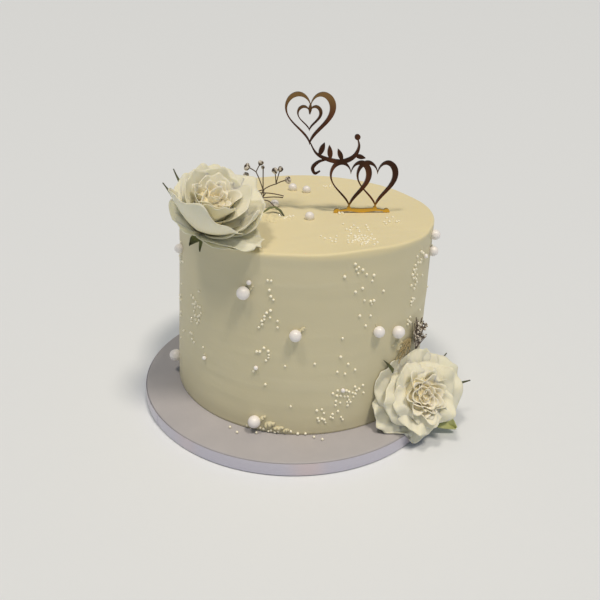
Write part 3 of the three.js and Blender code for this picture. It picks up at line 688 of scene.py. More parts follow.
# The roses.
# Two fresh white roses, half open, with long stems cut off short. Big outer petals arch back
# round a cup of folded inner ones. The white turns greenish yellow in the depths.
MILLIMETRE = 0.001
GOLDEN_ANGLE = math.radians(137.508)
PETAL_SHEET = 0.00035
PETAL_ACROSS = 33
PETAL_ALONG = 27
ROSE_CLEARANCE = 0.0013
# Where the petals of each rose start, and the way that the flower looks.
TOP_BASE = (-0.0635, -0.0625, 0.1645)
TOP_LOOKS = (0.38, -0.33, 0.86)
FOOT_BASE = (0.0972, -0.0635, 0.0292)
FOOT_LOOKS = (0.27, -0.79, 0.555)
# Each petal from the outermost inwards: bearing about the flower in degrees, half-width and
# length in millimetres, its leans off the axis at foot, middle and end, and how far its lip
# rolls back, in degrees.
TOP_PETALS = [
    (-30, 17, 45, 52, 68, 64, 6),
    (-42, 15, 36, 54, 70, 66, 6),
    (174, 17, 25, 46, 66, 70, 16),
    (152, 19, 31, 44, 66, 70, 16),
    (114, 21, 41, 36, 52, 56, 10),
    (80, 27, 46, 36, 54, 58, 10),
    (52, 26, 49, 38, 58, 58, 12),
    (6, 19, 46, 50, 68, 10, 6),
    (-20, 18, 47, 50, 70, -4, 0),
    (-112, 33, 49, 58, 44, 6, 6),
    (150, 24, 40, 26, 36, 14, 20),
    (85, 26, 42, 26, 36, 16, 20),
    (26, 22, 42, 26, 36, 8, 26),
    (-74, 22, 38, 26, 30, 4, 16),
    (-160, 20, 38, 24, 30, 4, 20),
    (100, 19, 39, 18, 26, 2, 30),
]
FOOT_PETALS = [
    (215, 21, 39, 56, 84, 88, 24),
    (78, 21, 38, 50, 74, 80, 24),
    (34, 26, 41, 52, 78, 84, 24),
    (148, 22, 43, 50, 80, 86, 30),
    (264, 18, 34, 52, 82, 84, 26),
    (355, 20, 34, 52, 78, 78, 30),
    (192, 20, 37, 44, 66, 40, 46),
    (48, 22, 36, 40, 58, 20, 80),
    (258, 22, 35, 40, 58, 14, 84),
    (120, 21, 35, 36, 54, 8, 88),
    (330, 21, 34, 36, 54, 6, 88),
    (200, 20, 34, 32, 52, 2, 90),
    (75, 19, 33, 28, 46, -4, 84),
    (285, 19, 33, 28, 46, -4, 84),
]
# The heart of each rose: its turn in degrees, its radius and height, its number of folds.
TOP_HEART = {"turn": 150, "heart": 0.0120, "tall": 0.0350, "folds": 8}
FOOT_HEART = {"turn": 40, "heart": 0.0145, "tall": 0.0262, "folds": 16}
# The tight middle that fills the heart between its folds, as shares of its radius and height.
HEART_CORE = [(0.02, 0.1), (0.6, 0.12), (0.9, 0.4), (1, 0.66), (0.9, 0.8), (0.5, 0.84), (0.02, 0.8)]
HEART_SIDES = 24
# How far off the flower's axis a petal starts and the innermost fold stands, the least distance
# that a petal's width is bent round, how far round the flower half a petal may reach in radians,
# and the seeds that their small differences follow.
PETAL_START = 0.0015
FOLD_START = 0.0012
LEAST_AWAY = 0.001
MOST_SWING = 1.75
PETAL_SEED = 91
FOLD_SEED = 57
# Where each point of a petal's grid lies: across it from -1 to 1, and along it from 0 to 1.
across, along = np.meshgrid(np.linspace(-1, 1, PETAL_ACROSS), np.linspace(0, 1, PETAL_ALONG))


def flower_axes(base, looks):
    """A flower's own place and axes: right, up, and out along the way it looks."""
    out = Vector(looks).normalized()
    right = (Vector((1, 0, 0)) - out * out.x).normalized()
    return np.array(base), np.array([right, out.cross(right), out])


def flower_point(axes, bearing, away, height):
    """Points of a flower from their bearing, their distance off its axis and their height."""
    base, way = axes
    local = np.stack([np.cos(bearing) * away, np.sin(bearing) * away, height], axis=-1)
    return base + local @ way


def run_out(leans, done, full, start, lip=0.0):
    """How far off the axis and how high a petal is, as it follows three leans in degrees.
    Its last third rolls back by the lip, also in degrees."""
    steps = 24
    away, height = start, 0
    for step in range(steps):
        part = (step + 0.5) / steps
        share = part * np.minimum(done / full, 1.2)
        lean = (1 - share) ** 2 * leans[0] + 2 * share * (1 - share) * leans[1]
        lean = lean + share ** 2 * leans[2] + lip * soft_step(part * along, 0.6, 0.86)
        lean = np.radians(lean)
        away = away + np.sin(lean) * done / steps
        height = height + np.cos(lean) * done / steps
    return away, height


def clear_of_cake(points, gap):
    """Moves points out of the cake and off the board, the shorter way."""
    points = points.copy()
    middle, radius = cake_round(np.clip(points[..., 2] - BOARD_HEIGHT, 0, CAKE_HEIGHT))
    off = points[..., :2] - middle
    reach = np.maximum(np.linalg.norm(off, axis=-1), 1e-6)
    radius = radius[..., 0] + gap
    up = BOARD_HEIGHT + CAKE_HEIGHT + gap - points[..., 2]
    inside = (reach < radius) & (up > 0)
    lift = inside & (up < radius - reach)
    grow = np.where(inside & ~lift, radius / reach, 1)
    points[..., :2] = middle + off * grow[..., None]
    on_board = np.hypot(points[..., 0], points[..., 1]) < BOARD_RADIUS + gap
    floor = np.where(on_board, BOARD_HEIGHT + gap, gap)
    points[..., 2] = np.maximum(points[..., 2] + np.where(lift, up, 0), floor)
    return points


def facing_of(points):
    """The way that a surface faces at each point of its grid."""
    way = np.cross(np.gradient(points, axis=1), np.gradient(points, axis=0))
    return way / np.maximum(np.linalg.norm(way, axis=-1, keepdims=True), 1e-12)


def crumple(points, phase, depth):
    """Gives a petal soft uneven dents, deeper towards its margin."""
    dents = 0.5 * np.sin(2.4 * across + 3.2 * along + phase)
    dents = dents + 0.35 * np.sin(5.2 * across - 4.1 * along + 2 * phase)
    dents = dents + 0.2 * np.sin(11 * across + 6 * along + 3 * phase) * along
    return points + facing_of(points) * (depth * dents * along)[..., None]


def sheet(points, thick, values):
    """A closed thin sheet about a grid of points, with values for each corner of both sides."""
    rows, columns = points.shape[:2]
    normal = facing_of(points)
    both = np.stack([points + normal * thick / 2, points - normal * thick / 2])
    under = rows * columns
    faces = []
    for row in range(rows - 1):
        for column in range(columns - 1):
            a = row * columns + column
            b, c, d = a + 1, a + columns + 1, a + columns
            faces += [(a, b, c, d), (under + d, under + c, under + b, under + a)]
    rim = [(0, column) for column in range(columns)]
    rim += [(row, columns - 1) for row in range(1, rows)]
    rim += [(rows - 1, column) for column in range(columns - 2, -1, -1)]
    rim += [(row, 0) for row in range(rows - 2, 0, -1)]
    rim = [row * columns + column for row, column in rim]
    for here, after in zip(rim, rim[1:] + rim[:1]):
        faces.append((after, here, under + here, under + after))
    return both.reshape(-1, 3), faces, {key: np.tile(v.ravel(), 2) for key, v in values.items()}


def petal(axes, count, opened, bearing, half, long, foot, middle, end, lip):
    """One petal, counted inwards from the outermost, opened from 1 down to 0."""
    facts = seeded(PETAL_SEED + count * 7 + round(bearing + 720))
    next(facts)
    full = long * MILLIMETRE
    phase = next(facts) * 6
    edge = 1 - 0.3 * np.abs(across) ** 2.6 + 0.07 * np.exp(-((across / 0.16) ** 2))
    edge = edge + 0.025 * np.sin(6.3 * across + phase) + 0.012 * np.sin(15 * across - phase)
    lip = lip * (0.85 + 0.3 * np.sin(2.6 * across + 2 * phase))
    away, height = run_out((foot, middle, end), full * edge * along, full, PETAL_START, lip)
    wide = half * MILLIMETRE * (0.3 + 0.7 * soft_step(along, 0, 0.62))
    swing = np.minimum(wide / np.maximum(away, LEAST_AWAY), MOST_SWING) * across
    curl = 1 + (-0.2 + 1.1 * opened) * 0.4 * np.minimum(swing ** 2, 1.2)
    ripple = (0.0004 + 0.0010 * opened) * np.sin(3 * across * np.pi + phase) * along ** 2
    ripple = ripple - 0.0006 * np.exp(-((across / 0.14) ** 2)) * along * (1 - along) * 4
    points = flower_point(axes, math.radians(bearing) + swing, away * curl, height + ripple)
    points = crumple(points, phase, 0.0008 + 0.0010 * opened)
    values = {"along": along, "opened": opened + 0 * along, "across": across}
    return sheet(clear_of_cake(points, ROSE_CLEARANCE), PETAL_SHEET, values)


def fold(axes, turn, heart, tall, share, count):
    """One folded petal of the heart, counted inwards, one side tucked under the next."""
    facts = seeded(FOLD_SEED + count * 11 + round(turn))
    next(facts)
    reach = heart * (1 - share) ** 0.9 + FOLD_START
    tall = (tall + 0.001 * share) * (0.93 + 0.1 * next(facts))
    spread = math.radians(45 + 60 * share)
    bearing = math.radians(turn + 40) - count * GOLDEN_ANGLE
    phase = next(facts) * 6
    belly = 0.45 + 0.75 * along - 0.28 * along ** 2 + 0.2 * along ** 10
    tuck = 1 - 0.18 * across
    top = 1 - 0.09 * np.abs(across) ** 2.4 - 0.04 * np.exp(-((across / 0.3) ** 2))
    top = top + 0.02 * np.sin(9 * across + phase)
    ripple = 0.0008 * np.sin(5 * across + phase) * along ** 3
    dent = 1 + 0.22 * np.sin(5.2 * across + phase) * along ** 2
    points = flower_point(axes, bearing + spread * across, reach * belly * tuck * dent,
                          tall * top * along + ripple)
    points = crumple(points, phase, 0.0013)
    values = {"along": along, "opened": -0.6 * share + 0 * along, "across": across}
    return sheet(points, PETAL_SHEET, values)


def mesh_value(tree, name):
    """A value that the mesh holds at each of its points, for a material."""
    return tree.add("ShaderNodeAttribute", {"attribute_name": name}, take="Fac")


def petal_look(tree):
    run = mesh_value(tree, "along")
    side = mesh_value(tree, "across")
    opened = mesh_value(tree, "opened")
    spot = tree.add("ShaderNodeCombineXYZ", values={0: side * 26, 1: run * 2.4, 2: opened * 40})
    veins = tree.noise(spot, 1, 2)
    patch = tree.noise(tree.place(), 60, 2)
    colour = tree.blend(veins, tone(228, 224, 201), tone(235, 232, 216))
    # The inner petals and the heart are painted a lighter cream: partly their own creamier white,
    # partly painted light that stands in for light shining through the petals into their shade.
    colour = tree.blend(tree.between(opened, 0.25, -0.4) * 0.7, colour, tone(250, 240, 220))
    green = tree.between(opened, 0.6, 1.0) * tree.between(patch, 0.3, 0.7)
    colour = tree.blend(green * 0.5, colour, tone(216, 218, 196))
    depth = tree.between(run, 0.75, 0.2) * (1 - tree.between(opened, 0.3, 0.8) * 0.8)
    colour = tree.blend(depth * 0.7, colour, tone(216, 206, 160))
    return {
        "Base Color": colour,
        "Roughness": 0.55 + patch * 0.1,
        "Subsurface Weight": 0.6,
        "Subsurface Radius": (1.0, 0.92, 0.65),
        "Subsurface Scale": 0.001,
        "Specular IOR Level": 0.3,
        "Normal": tree.bump(veins, 0.0005, 0.35),
    }


petal_white = finish("petal_white", petal_look)


def rose(name, node, axes, petals, turn, heart, tall, folds):
    """A whole flower: its arching petals and the folds of its heart, as one piece."""
    parts = []
    for count, facts in enumerate(petals):
        parts.append(petal(axes, count, 1 - count / len(petals), *facts))
    parts += [fold(axes, turn, heart, tall, count / folds, count) for count in range(folds)]
    base, way = axes
    core = turned([(share * heart, high * tall) for share, high in HEART_CORE], HEART_SIDES)
    corners, faces, _ = skin(base + core @ way)
    full = np.ones(len(corners))
    parts.append((corners, faces, {"along": 0.35 * full, "opened": -0.4 * full, "across": full}))
    made = piece(name, parts, petal_white)
    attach(made, "root")
    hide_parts(node)


TOP_AXES = flower_axes(TOP_BASE, TOP_LOOKS)
FOOT_AXES = flower_axes(FOOT_BASE, FOOT_LOOKS)
rose("rose_top_petals", "rose_top", TOP_AXES, TOP_PETALS, **TOP_HEART)
rose("rose_foot_petals", "rose_foot", FOOT_AXES, FOOT_PETALS, **FOOT_HEART)

# The calyxes.
# The green cup below each flower with its sepals: narrow, dark, dried at their tips and bent
# back, so that they peep out between the petals and the icing.
# Each sepal: bearing about the flower in degrees, length, half-width, lean in degrees.
TOP_SEPALS = [
    (150, 0.041, 0.0016, 68),
    (134, 0.047, 0.0016, 62),
    (-112, 0.015, 0.0034, 92),
    (-84, 0.015, 0.0012, 100),
]
FOOT_SEPALS = [
    (139, 0.060, 0.0016, 88),
    (50, 0.045, 0.0014, 84),
    (16, 0.0515, 0.0018, 84),
    (-33, 0.042, 0.0110, 84),
    (-88, 0.041, 0.0016, 92),
]
SEPAL_SHEET = 0.0007
SEPAL_START = 0.002
SEPAL_DROP = 0.0032
# A sepal whose half-width is larger than this is fresh and pale, and a narrower one is dark.
SEPAL_BROAD = 0.005
# The cup's outline, as its radius and its height over the foot of the petals.
CUP_PROFILE = [
    (0.0008, -0.009),
    (0.0026, -0.0085),
    (0.0040, -0.0065),
    (0.0046, -0.004),
    (0.0042, -0.0024),
    (0.0030, -0.0015),
    (0.0008, -0.0014),
]
CUP_SIDES = 24


def sepal(axes, bearing, long, half, lean):
    """One sepal, cupped along its middle and narrow at both ends."""
    away, height = run_out((lean, lean + 6, lean + 2), long * along, long, SEPAL_START)
    wide = half * np.sin(np.pi * (0.12 + 0.86 * along))
    swing = wide / np.maximum(away, LEAST_AWAY) * across
    cup = 0.3 * half * np.abs(across) + 0.0005 * np.sin(9 * along + bearing)
    points = flower_point(axes, math.radians(bearing) + swing, away, height - SEPAL_DROP + cup)
    values = {"along": along, "broad": float(half > SEPAL_BROAD) + 0 * along}
    return sheet(clear_of_cake(points, ROSE_CLEARANCE), SEPAL_SHEET, values)


def calyx_look(tree):
    run = mesh_value(tree, "along")
    broad = mesh_value(tree, "broad")
    patch = tree.noise(tree.place(), 240, 3)
    dark = tree.blend(patch, tone(84, 92, 58), tone(134, 141, 88))
    dark = tree.blend(tree.between(run, 0.45, 1) * 0.7, dark, tone(58, 56, 44))
    pale = tree.blend(patch, tone(176, 182, 116), tone(206, 208, 150))
    return {
        "Base Color": tree.blend(broad, dark, pale),
        "Roughness": 0.6,
        "Normal": tree.bump(patch, 0.0004, 0.5),
    }


calyx_green = finish("calyx_green", calyx_look)


def calyx(name, node, axes, sepals):
    """The cup and its sepals, as one piece."""
    cup = turned(CUP_PROFILE, CUP_SIDES)
    base, way = axes
    corners, faces, _ = skin(base + cup @ way)
    plain = np.zeros(len(corners))
    parts = [(corners, faces, {"along": plain, "broad": plain})]
    parts += [sepal(axes, *facts) for facts in sepals]
    made = piece(name, parts, calyx_green)
    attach(made, "root")
    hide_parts(node)


calyx("calyx_top_green", "calyx_top", TOP_AXES, TOP_SEPALS)
calyx("calyx_foot_green", "calyx_foot", FOOT_AXES, FOOT_SEPALS)

# The sprigs.
# Dried filler flowers on wiry brown stems. The top one forks over the icing behind the rose,
# and the foot one is a dense tuft tucked between the rose and the cake's side.
STEM_RADIUS = 0.00045
STEM_STEPS = 8
STEM_SIDES = 6
TOP_ROOT = (-0.0295, 0.0088, 0.1586)
TOP_FORKS = [
    (-0.0258, 0.0088, 0.173),
    (-0.0155, 0.0088, 0.1781),
    (-0.0313, 0.0088, 0.1874),
    (-0.031, 0.009, 0.171),
]
# Each bud: the fork it grows from, its place, its radius.
TOP_BUDS = [
    (2, (-0.0274, 0.0088, 0.1946), 0.0019),
    (2, (-0.0384, 0.0088, 0.1911), 0.0023),
    (0, (-0.0258, 0.0105, 0.1907), 0.0014),
    (1, (-0.0164, 0.0088, 0.1889), 0.0021),
    (1, (-0.0121, 0.0088, 0.1903), 0.0022),
    (1, (-0.0061, 0.0088, 0.1816), 0.0024),
    (3, (-0.0362, 0.0094, 0.1776), 0.0024),
    (3, (-0.0395, 0.012, 0.184), 0.0022),
]
TOP_BUD_TALL = 1.25
# Bare twigs low down, each from its start to its end.
TOP_TWIGS = [
    ((-0.0380, 0.0088, 0.1694), (-0.0093, 0.0088, 0.1685)),
    ((-0.0347, 0.0070, 0.1645), (-0.0098, 0.0100, 0.1668)),
    ((-0.0213, 0.0088, 0.1640), (-0.0146, 0.0040, 0.1588)),
    ((-0.0331, 0.0088, 0.1646), (-0.0213, 0.0088, 0.1640)),
    ((-0.0401, 0.0088, 0.1823), (-0.0299, 0.0088, 0.1646)),
    ((-0.0362, 0.0088, 0.1776), (-0.0267, 0.0088, 0.1664)),
    ((-0.0267, 0.0088, 0.1680), (-0.0315, 0.0088, 0.1604)),
    ((-0.0251, 0.0088, 0.1730), (-0.0267, 0.0088, 0.1606)),
    ((-0.0300, 0.0080, 0.1590), (-0.0240, 0.0095, 0.1700)),
]
# A narrow dry leaf that lies by their foot: points along it, and its half-width.
TOP_LEAF = [
    (-0.0255, -0.0100, 0.1600),
    (-0.0203, -0.0040, 0.1622),
    (-0.0160, -0.0015, 0.1626),
    (-0.0116, -0.0055, 0.1612),
    (-0.0082, -0.0140, 0.1598),
]
TOP_LEAF_HALF = 0.0013
TOP_LEAF_SHEET = 0.0006
TOP_LEAF_DIP = 0.0004
TOP_LEAF_STEPS = 17
# The tuft at the foot: its root by angle, height and distance off the cake's side, the angles
# that its stems fan over, the height of its tallest tip, and how much lower the others end
# along the fan and by chance. A pair holds the two ends that a value is drawn between.
FOOT_ROOT = (-34, 0.052, 0.005)
FOOT_FAN = (-37.5, -22.5)
FOOT_TALLEST = 0.083
FOOT_DROP = 0.014
FOOT_UNEVEN = 0.018
FOOT_TIPS = (0.0022, 0.0072)
FOOT_BOWS = (0.08, 0.23)
FOOT_STEMS = 30
FOOT_STEM_RADIUS = 0.00035
FOOT_BUDS = 90
FOOT_BUD_SIZES = (0.0006, 0.0013)
FOOT_BUD_STRAY = 0.0022
FOOT_BUD_GAP = 0.0008
FOOT_SEED = 733
# The straws low in the tuft, by the angles, heights and distances off the side of their ends.
STRAWS = 26
STRAW_RADIUS = 0.0003
STRAW_START = ((-35, -39), (0.054, 0.064), 0.0015)
STRAW_END = ((-38, -47), (0.046, 0.064), (0.0012, 0.0052))
STRAW_BOW = 0.25


def stem_look(tree):
    patch = tree.noise(tree.place(), 300, 3)
    return {
        "Base Color": tree.blend(patch, tone(74, 62, 52), tone(122, 106, 92)),
        "Roughness": 0.8,
    }


def straw_look(tree):
    patch = tree.noise(tree.place(), 300, 3)
    return {
        "Base Color": tree.blend(patch, tone(158, 138, 96), tone(206, 190, 146)),
        "Roughness": 0.7,
    }


def bud_look(tree):
    patch = tree.noise(tree.place(), 420, 3)
    mask = tree.between(patch, 0.42, 0.58)
    return {
        "Base Color": tree.blend(mask, tone(76, 62, 52), tone(226, 219, 208)),
        "Roughness": 0.8,
        "Normal": tree.bump(patch, 0.0008, 0.8),
    }


def bowed(start, end, bow=0.12):
    """Points along a stem that bows upwards between its ends."""
    start, end = np.array(start), np.array(end)
    share = np.linspace(0, 1, STEM_STEPS)[:, None]
    points = start + (end - start) * share
    points[:, 2] += (2 * bow * np.linalg.norm(end - start) * share * (1 - share))[:, 0]
    return points


def stems(name, runs, radius, material):
    """Round stems along runs of points, by sweeping a small circle along each."""
    tree, inlet = tree_for(name + "_swept", ["Radius"])
    path = tree.add("GeometryNodeMeshToCurve", values={"Mesh": inlet["Geometry"]})
    values = {"Resolution": STEM_SIDES, "Radius": inlet["Radius"]}
    circle = tree.add("GeometryNodeCurvePrimitiveCircle", values=values)
    values = {"Curve": path, "Profile Curve": circle, "Fill Caps": True}
    close(tree, tree.add("GeometryNodeCurveToMesh", values=values), material)
    corners = [tuple(point) for run in runs for point in run]
    edges = [
        (number * STEM_STEPS + step, number * STEM_STEPS + step + 1)
        for number in range(len(runs))
        for step in range(STEM_STEPS - 1)
    ]
    made = piece(name, [(corners, [], {})])
    made.data.edges.add(len(edges))
    made.data.edges.foreach_set("vertices", np.array(edges).ravel())
    made.data.update()
    return grown(made, tree, {"Radius": radius})


stem_brown = finish("stem_brown", stem_look)
bud_cream = finish("bud_cream", bud_look)
top_runs = [bowed(TOP_ROOT, TOP_FORKS[0])]
top_runs += [bowed(TOP_FORKS[0], TOP_FORKS[fork]) for fork in (1, 3, 2)]
top_runs += [bowed(TOP_FORKS[fork], place) for fork, place, _ in TOP_BUDS]
top_runs += [bowed(*ends) for ends in TOP_TWIGS]
top_stems = stems("sprig_top_stems", top_runs, STEM_RADIUS, stem_brown)
leaf_steps = np.linspace(0, 1, TOP_LEAF_STEPS)
leaf_marks = np.linspace(0, 1, len(TOP_LEAF))
spine = [np.interp(leaf_steps, leaf_marks, row) for row in np.array(TOP_LEAF).T]
spine = np.stack(spine, axis=-1)
half = TOP_LEAF_HALF * np.sin(np.pi * (0.06 + 0.88 * leaf_steps)) ** 0.7
sideways = np.gradient(spine, axis=0)[:, [1, 0, 2]] * (-1, 1, 0)
sideways /= np.linalg.norm(sideways, axis=1, keepdims=True)
blade_rows = [spine + sideways * (half * turn)[:, None] for turn in (-1, 0, 1)]
blade_rows[1][:, 2] -= TOP_LEAF_DIP
values = {"along": np.tile(leaf_steps[:, None], 3)}
blade = sheet(np.stack(blade_rows, axis=1), TOP_LEAF_SHEET, values)
top_leaf = piece("sprig_top_leaf", [blade], calyx_green)
bud_places = [np.array(place) for _, place, _ in TOP_BUDS]
bud_sizes = [size for *_, size in TOP_BUDS]
top_buds = balls("sprig_top_buds", bud_places, bud_sizes, bud_cream,
                 split=4, unevenness=0.5, tall=TOP_BUD_TALL)

tuft = seeded(FOOT_SEED)


def drawn(ends):
    """A number between two ends, drawn for the tuft."""
    return ends[0] + (ends[1] - ends[0]) * next(tuft)


root = side_point(*FOOT_ROOT)
foot_runs, foot_places, foot_sizes = [], [], []
for _ in range(FOOT_STEMS):
    share = next(tuft)
    angle = FOOT_FAN[0] + (FOOT_FAN[1] - FOOT_FAN[0]) * share
    height = FOOT_TALLEST - FOOT_DROP * share ** 1.4 - FOOT_UNEVEN * next(tuft)
    tip = side_point(angle, height, drawn(FOOT_TIPS))
    foot_runs.append(bowed(root, tip, drawn(FOOT_BOWS)))
for number in range(FOOT_BUDS):
    run = foot_runs[number % FOOT_STEMS]
    spread = FOOT_BUD_STRAY * np.array([scatter(), scatter(), scatter()])
    near = run[min(int(2 + 6 * next(tuft)), STEM_STEPS - 1)] + spread
    foot_places.append(near)
    foot_sizes.append(drawn(FOOT_BUD_SIZES))
foot_places = [clear_of_cake(place, FOOT_BUD_GAP) for place in foot_places]
foot_stems = stems("sprig_foot_stems", foot_runs, FOOT_STEM_RADIUS, stem_brown)
straw_runs = []
for _ in range(STRAWS):
    start = side_point(drawn(STRAW_START[0]), drawn(STRAW_START[1]), STRAW_START[2])
    end = side_point(*[drawn(ends) for ends in STRAW_END])
    straw_runs.append(bowed(start, end, STRAW_BOW))
straw_gold = finish("straw_gold", straw_look)
foot_straws = stems("sprig_foot_straws", straw_runs, STRAW_RADIUS, straw_gold)
foot_buds = balls("sprig_foot_buds", foot_places, foot_sizes, bud_cream, split=2, unevenness=0.4)
sprig_pieces = [
    (top_stems, "sprig_top"),
    (top_buds, "sprig_top"),
    (foot_straws, "sprig_foot"),
    (top_leaf, "sprig_top"),
    (foot_stems, "sprig_foot"),
    (foot_buds, "sprig_foot"),
]
for made, node in sprig_pieces:
    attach(made, "root")
    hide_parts(node)

# The topper.
# Plain hearts and a leafy scroll, cut from one sheet of gold mirror plastic and stood in the
# icing. Its colour is a painted reflection of a dim surround: dark bronze, with bright gold at its
# feet.
TOPPER_SHEET = 0.002
TOPPER_LIFT = 0.0003
TOPPER_PLACE = (0.0532, 0.0041, BOARD_HEIGHT + CAKE_HEIGHT + TOPPER_LIFT)
TOPPER_TURN = math.radians(6)
TOPPER_SHARP = math.radians(30)
HEART_POINTS = 96
STROKE_STEPS = 30
DISC_SIDES = 32
LEAF_STEPS = 14
# Half the width of a stroke at its two ends, in millimetres.
STROKE_END = 0.45
# The block that cuts the foot level: half its width, its depth, its thickness in sheets.
CUT_HALF = 0.06
CUT_DEEP = 0.01
CUT_THICK = 4
# The heights between which the painted reflection brightens the gold, towards its tip and towards
# its foot.
TIP_PAINTED_REFLECTION = (0.232, 0.25)
FOOT_PAINTED_REFLECTION = (0.168, 0.159)


def slab(outline, hole=None):
    """A flat shape as a closed sheet. An open shape has a hole with as many points."""
    half = TOPPER_SHEET / 2
    count = len(outline)
    loops = [outline] if hole is None else [outline, hole]
    corners = [(x, depth, z) for depth in (-half, half) for loop in loops for x, z in loop]
    under = count * len(loops)
    faces = []
    for number in range(count):
        after = (number + 1) % count
        faces.append((after, number, under + number, under + after))
        if hole is not None:
            inner, next_inner = count + number, count + after
            faces.append((inner, next_inner, under + next_inner, under + inner))
            faces.append((number, after, next_inner, inner))
            faces.append((under + after, under + number, under + inner, under + next_inner))
    if hole is None:
        faces.append(tuple(range(count)))
        faces.append(tuple(range(2 * count - 1, count - 1, -1)))
    return corners, faces, {}


def heart_line(left, right, high, middle):
    """Points round a heart with its own half-width on the left and right of its middle."""
    turn = 2 * np.pi * (np.arange(HEART_POINTS) + 0.5) / HEART_POINTS
    lobes = 13 * np.cos(turn) - 5 * np.cos(2 * turn) - 2 * np.cos(3 * turn) - np.cos(4 * turn)
    reach = -(np.sin(turn) ** 3) * np.where(turn < np.pi, left, right)
    rise = (lobes + 2.6) * high / 29
    return np.stack([middle[0] + reach, middle[1] + rise], axis=-1) * MILLIMETRE


def open_heart(wide, high, middle, thin, thick):
    """An open heart, in millimetres, with a thin left stroke and a thick right one."""
    half = wide / 2
    hole = heart_line(half - thin, half - thick, high - 1.05 * (thin + thick), middle)
    return slab(heart_line(half, half, high, middle), hole)


def curve_through(points, steps):
    """A smooth line through points, as many steps along as asked."""
    points = np.array(points, float)
    ends = np.vstack([2 * points[0] - points[1], points, 2 * points[-1] - points[-2]])
    places = []
    for step in range(steps + 1):
        at = step / steps * (len(points) - 1)
        leg = min(int(at), len(points) - 2)
        part = at - leg
        a, b, c, d = ends[leg:leg + 4]
        places.append(b + (c - a) * part / 2 + (2 * a - 5 * b + 4 * c - d) * part * part / 2
                      + (3 * b - a - 3 * c + d) * part ** 3 / 2)
    return np.array(places)


def stroke(points, wide):
    """A stroke along a line, in millimetres, whose width swells in the middle."""
    line = curve_through(points, STROKE_STEPS)
    way = np.gradient(line, axis=0)
    way /= np.linalg.norm(way, axis=1, keepdims=True)
    share = np.linspace(0, 1, STROKE_STEPS + 1)
    half = (STROKE_END + wide / 2 * np.sin(np.pi * share) ** 1.5)[:, None]
    side = np.stack([-way[:, 1], way[:, 0]], axis=-1) * half
    return slab(np.vstack([line - side, (line + side)[::-1]]) * MILLIMETRE)


def disc(x, z, radius):
    """A round dot, in millimetres."""
    angle = 2 * np.pi * np.arange(DISC_SIDES) / DISC_SIDES
    line = np.stack([x + radius * np.cos(angle), z + radius * np.sin(angle)], axis=-1)
    return slab(line * MILLIMETRE)


def leaf(x, z, bearing, long, wide):
    """A pointed leaf, in millimetres, from its foot along a bearing in degrees."""
    way = np.array([math.cos(math.radians(bearing)), math.sin(math.radians(bearing))])
    foot = np.array([x, z])
    tip = foot + way * long
    share = np.linspace(0, 1, LEAF_STEPS)[:, None]
    sides = []
    for turn in (1, -1):
        belly = foot + way * long * 0.45 + np.array([way[1], -way[0]]) * turn * wide
        side = (1 - share) ** 2 * foot + 2 * share * (1 - share) * belly + share * share * tip
        sides.append(side)
    return slab(np.vstack([sides[0][:-1], sides[1][:0:-1]]) * MILLIMETRE)


def gold_look(tree):
    height = tree.add("ShaderNodeSeparateXYZ", values={0: tree.place()}, take=2)
    reflection_streaks = tree.noise(tree.place((1, 1, 0.5)), 45, 2)
    # The streaked dark bronze is a painted reflection of a dim surround. The lighter tip and the
    # bright gold foot are painted reflections too, not the plastic's own colour.
    colour = tree.blend(tree.between(reflection_streaks, 0.4, 0.65), tone(66, 45, 34), tone(104, 66, 46))
    tip = tree.between(height, *TIP_PAINTED_REFLECTION)
    colour = tree.blend(tip * 0.7, colour, tone(150, 120, 76))
    foot = tree.between(height, *FOOT_PAINTED_REFLECTION)
    return {
        "Base Color": tree.blend(foot, colour, tone(226, 184, 84)),
        "Metallic": 1.0,
        "Roughness": 0.16 + reflection_streaks * 0.08,
    }


# Its hearts, strokes, leaves and discs, in millimetres from the middle of its foot.
topper_parts = [
    open_heart(38, 39, (-43.5, 72.5), 1.6, 4.6),
    open_heart(19, 19, (-44, 73), 1.2, 2.4),
    open_heart(33, 38, (-10.5, 22.5), 1.6, 4.4),
    open_heart(33, 38, (10.5, 22.5), 1.6, 4.4),
    stroke([(-44, 76), (-43.8, 80), (-43.5, 84)], 1.6),
    stroke([(-43.5, 56), (-38, 47), (-29, 42.4), (-18, 40.6), (-9, 44.5), (-5.4, 52), (-7, 59)],
           2.6),
    stroke([(-29, 42.4), (-36, 40.6), (-40.5, 36), (-38.6, 31.6), (-34.6, 33.4)], 1.8),
    stroke([(-22, 1), (-10, 2.2), (0, 1.6), (10, 2.2), (22, 1)], 2.2),
    leaf(-36, 45, 68, 11, 4),
    leaf(-27, 42, 96, 11.5, 4),
    leaf(-17.6, 41, 112, 10.5, 3.8),
    leaf(-8.4, 45.4, -12, 9, 3.4),
    stroke([(-10.5, 1.8), (-10.5, 3.6), (-10.5, 5.6)], 2.4),
    stroke([(10.5, 1.8), (10.5, 3.6), (10.5, 5.6)], 2.4),
    disc(-20, 0.6, 2.6),
    disc(20, 0.6, 2.6),
    disc(0, 0.6, 2.6),
    disc(-7, 59.4, 2.2),
]


def cut_with(made, other, operation):
    """Joins another piece to this one, or cuts it away."""
    modifier = made.modifiers.new("cut", "BOOLEAN")
    modifier.operation = operation
    modifier.solver = "MANIFOLD"
    modifier.object = other
    graph = bpy.context.evaluated_depsgraph_get()
    mesh = bpy.data.meshes.new_from_object(made.evaluated_get(graph), depsgraph=graph)
    made.modifiers.remove(modifier)
    made.data = mesh
    bpy.data.objects.remove(other)


gold = finish("gold_mirror", gold_look)
topper = piece("topper_gold", topper_parts[:1], gold)
for part in topper_parts[1:]:
    cut_with(topper, piece("part", [part], gold), "UNION")
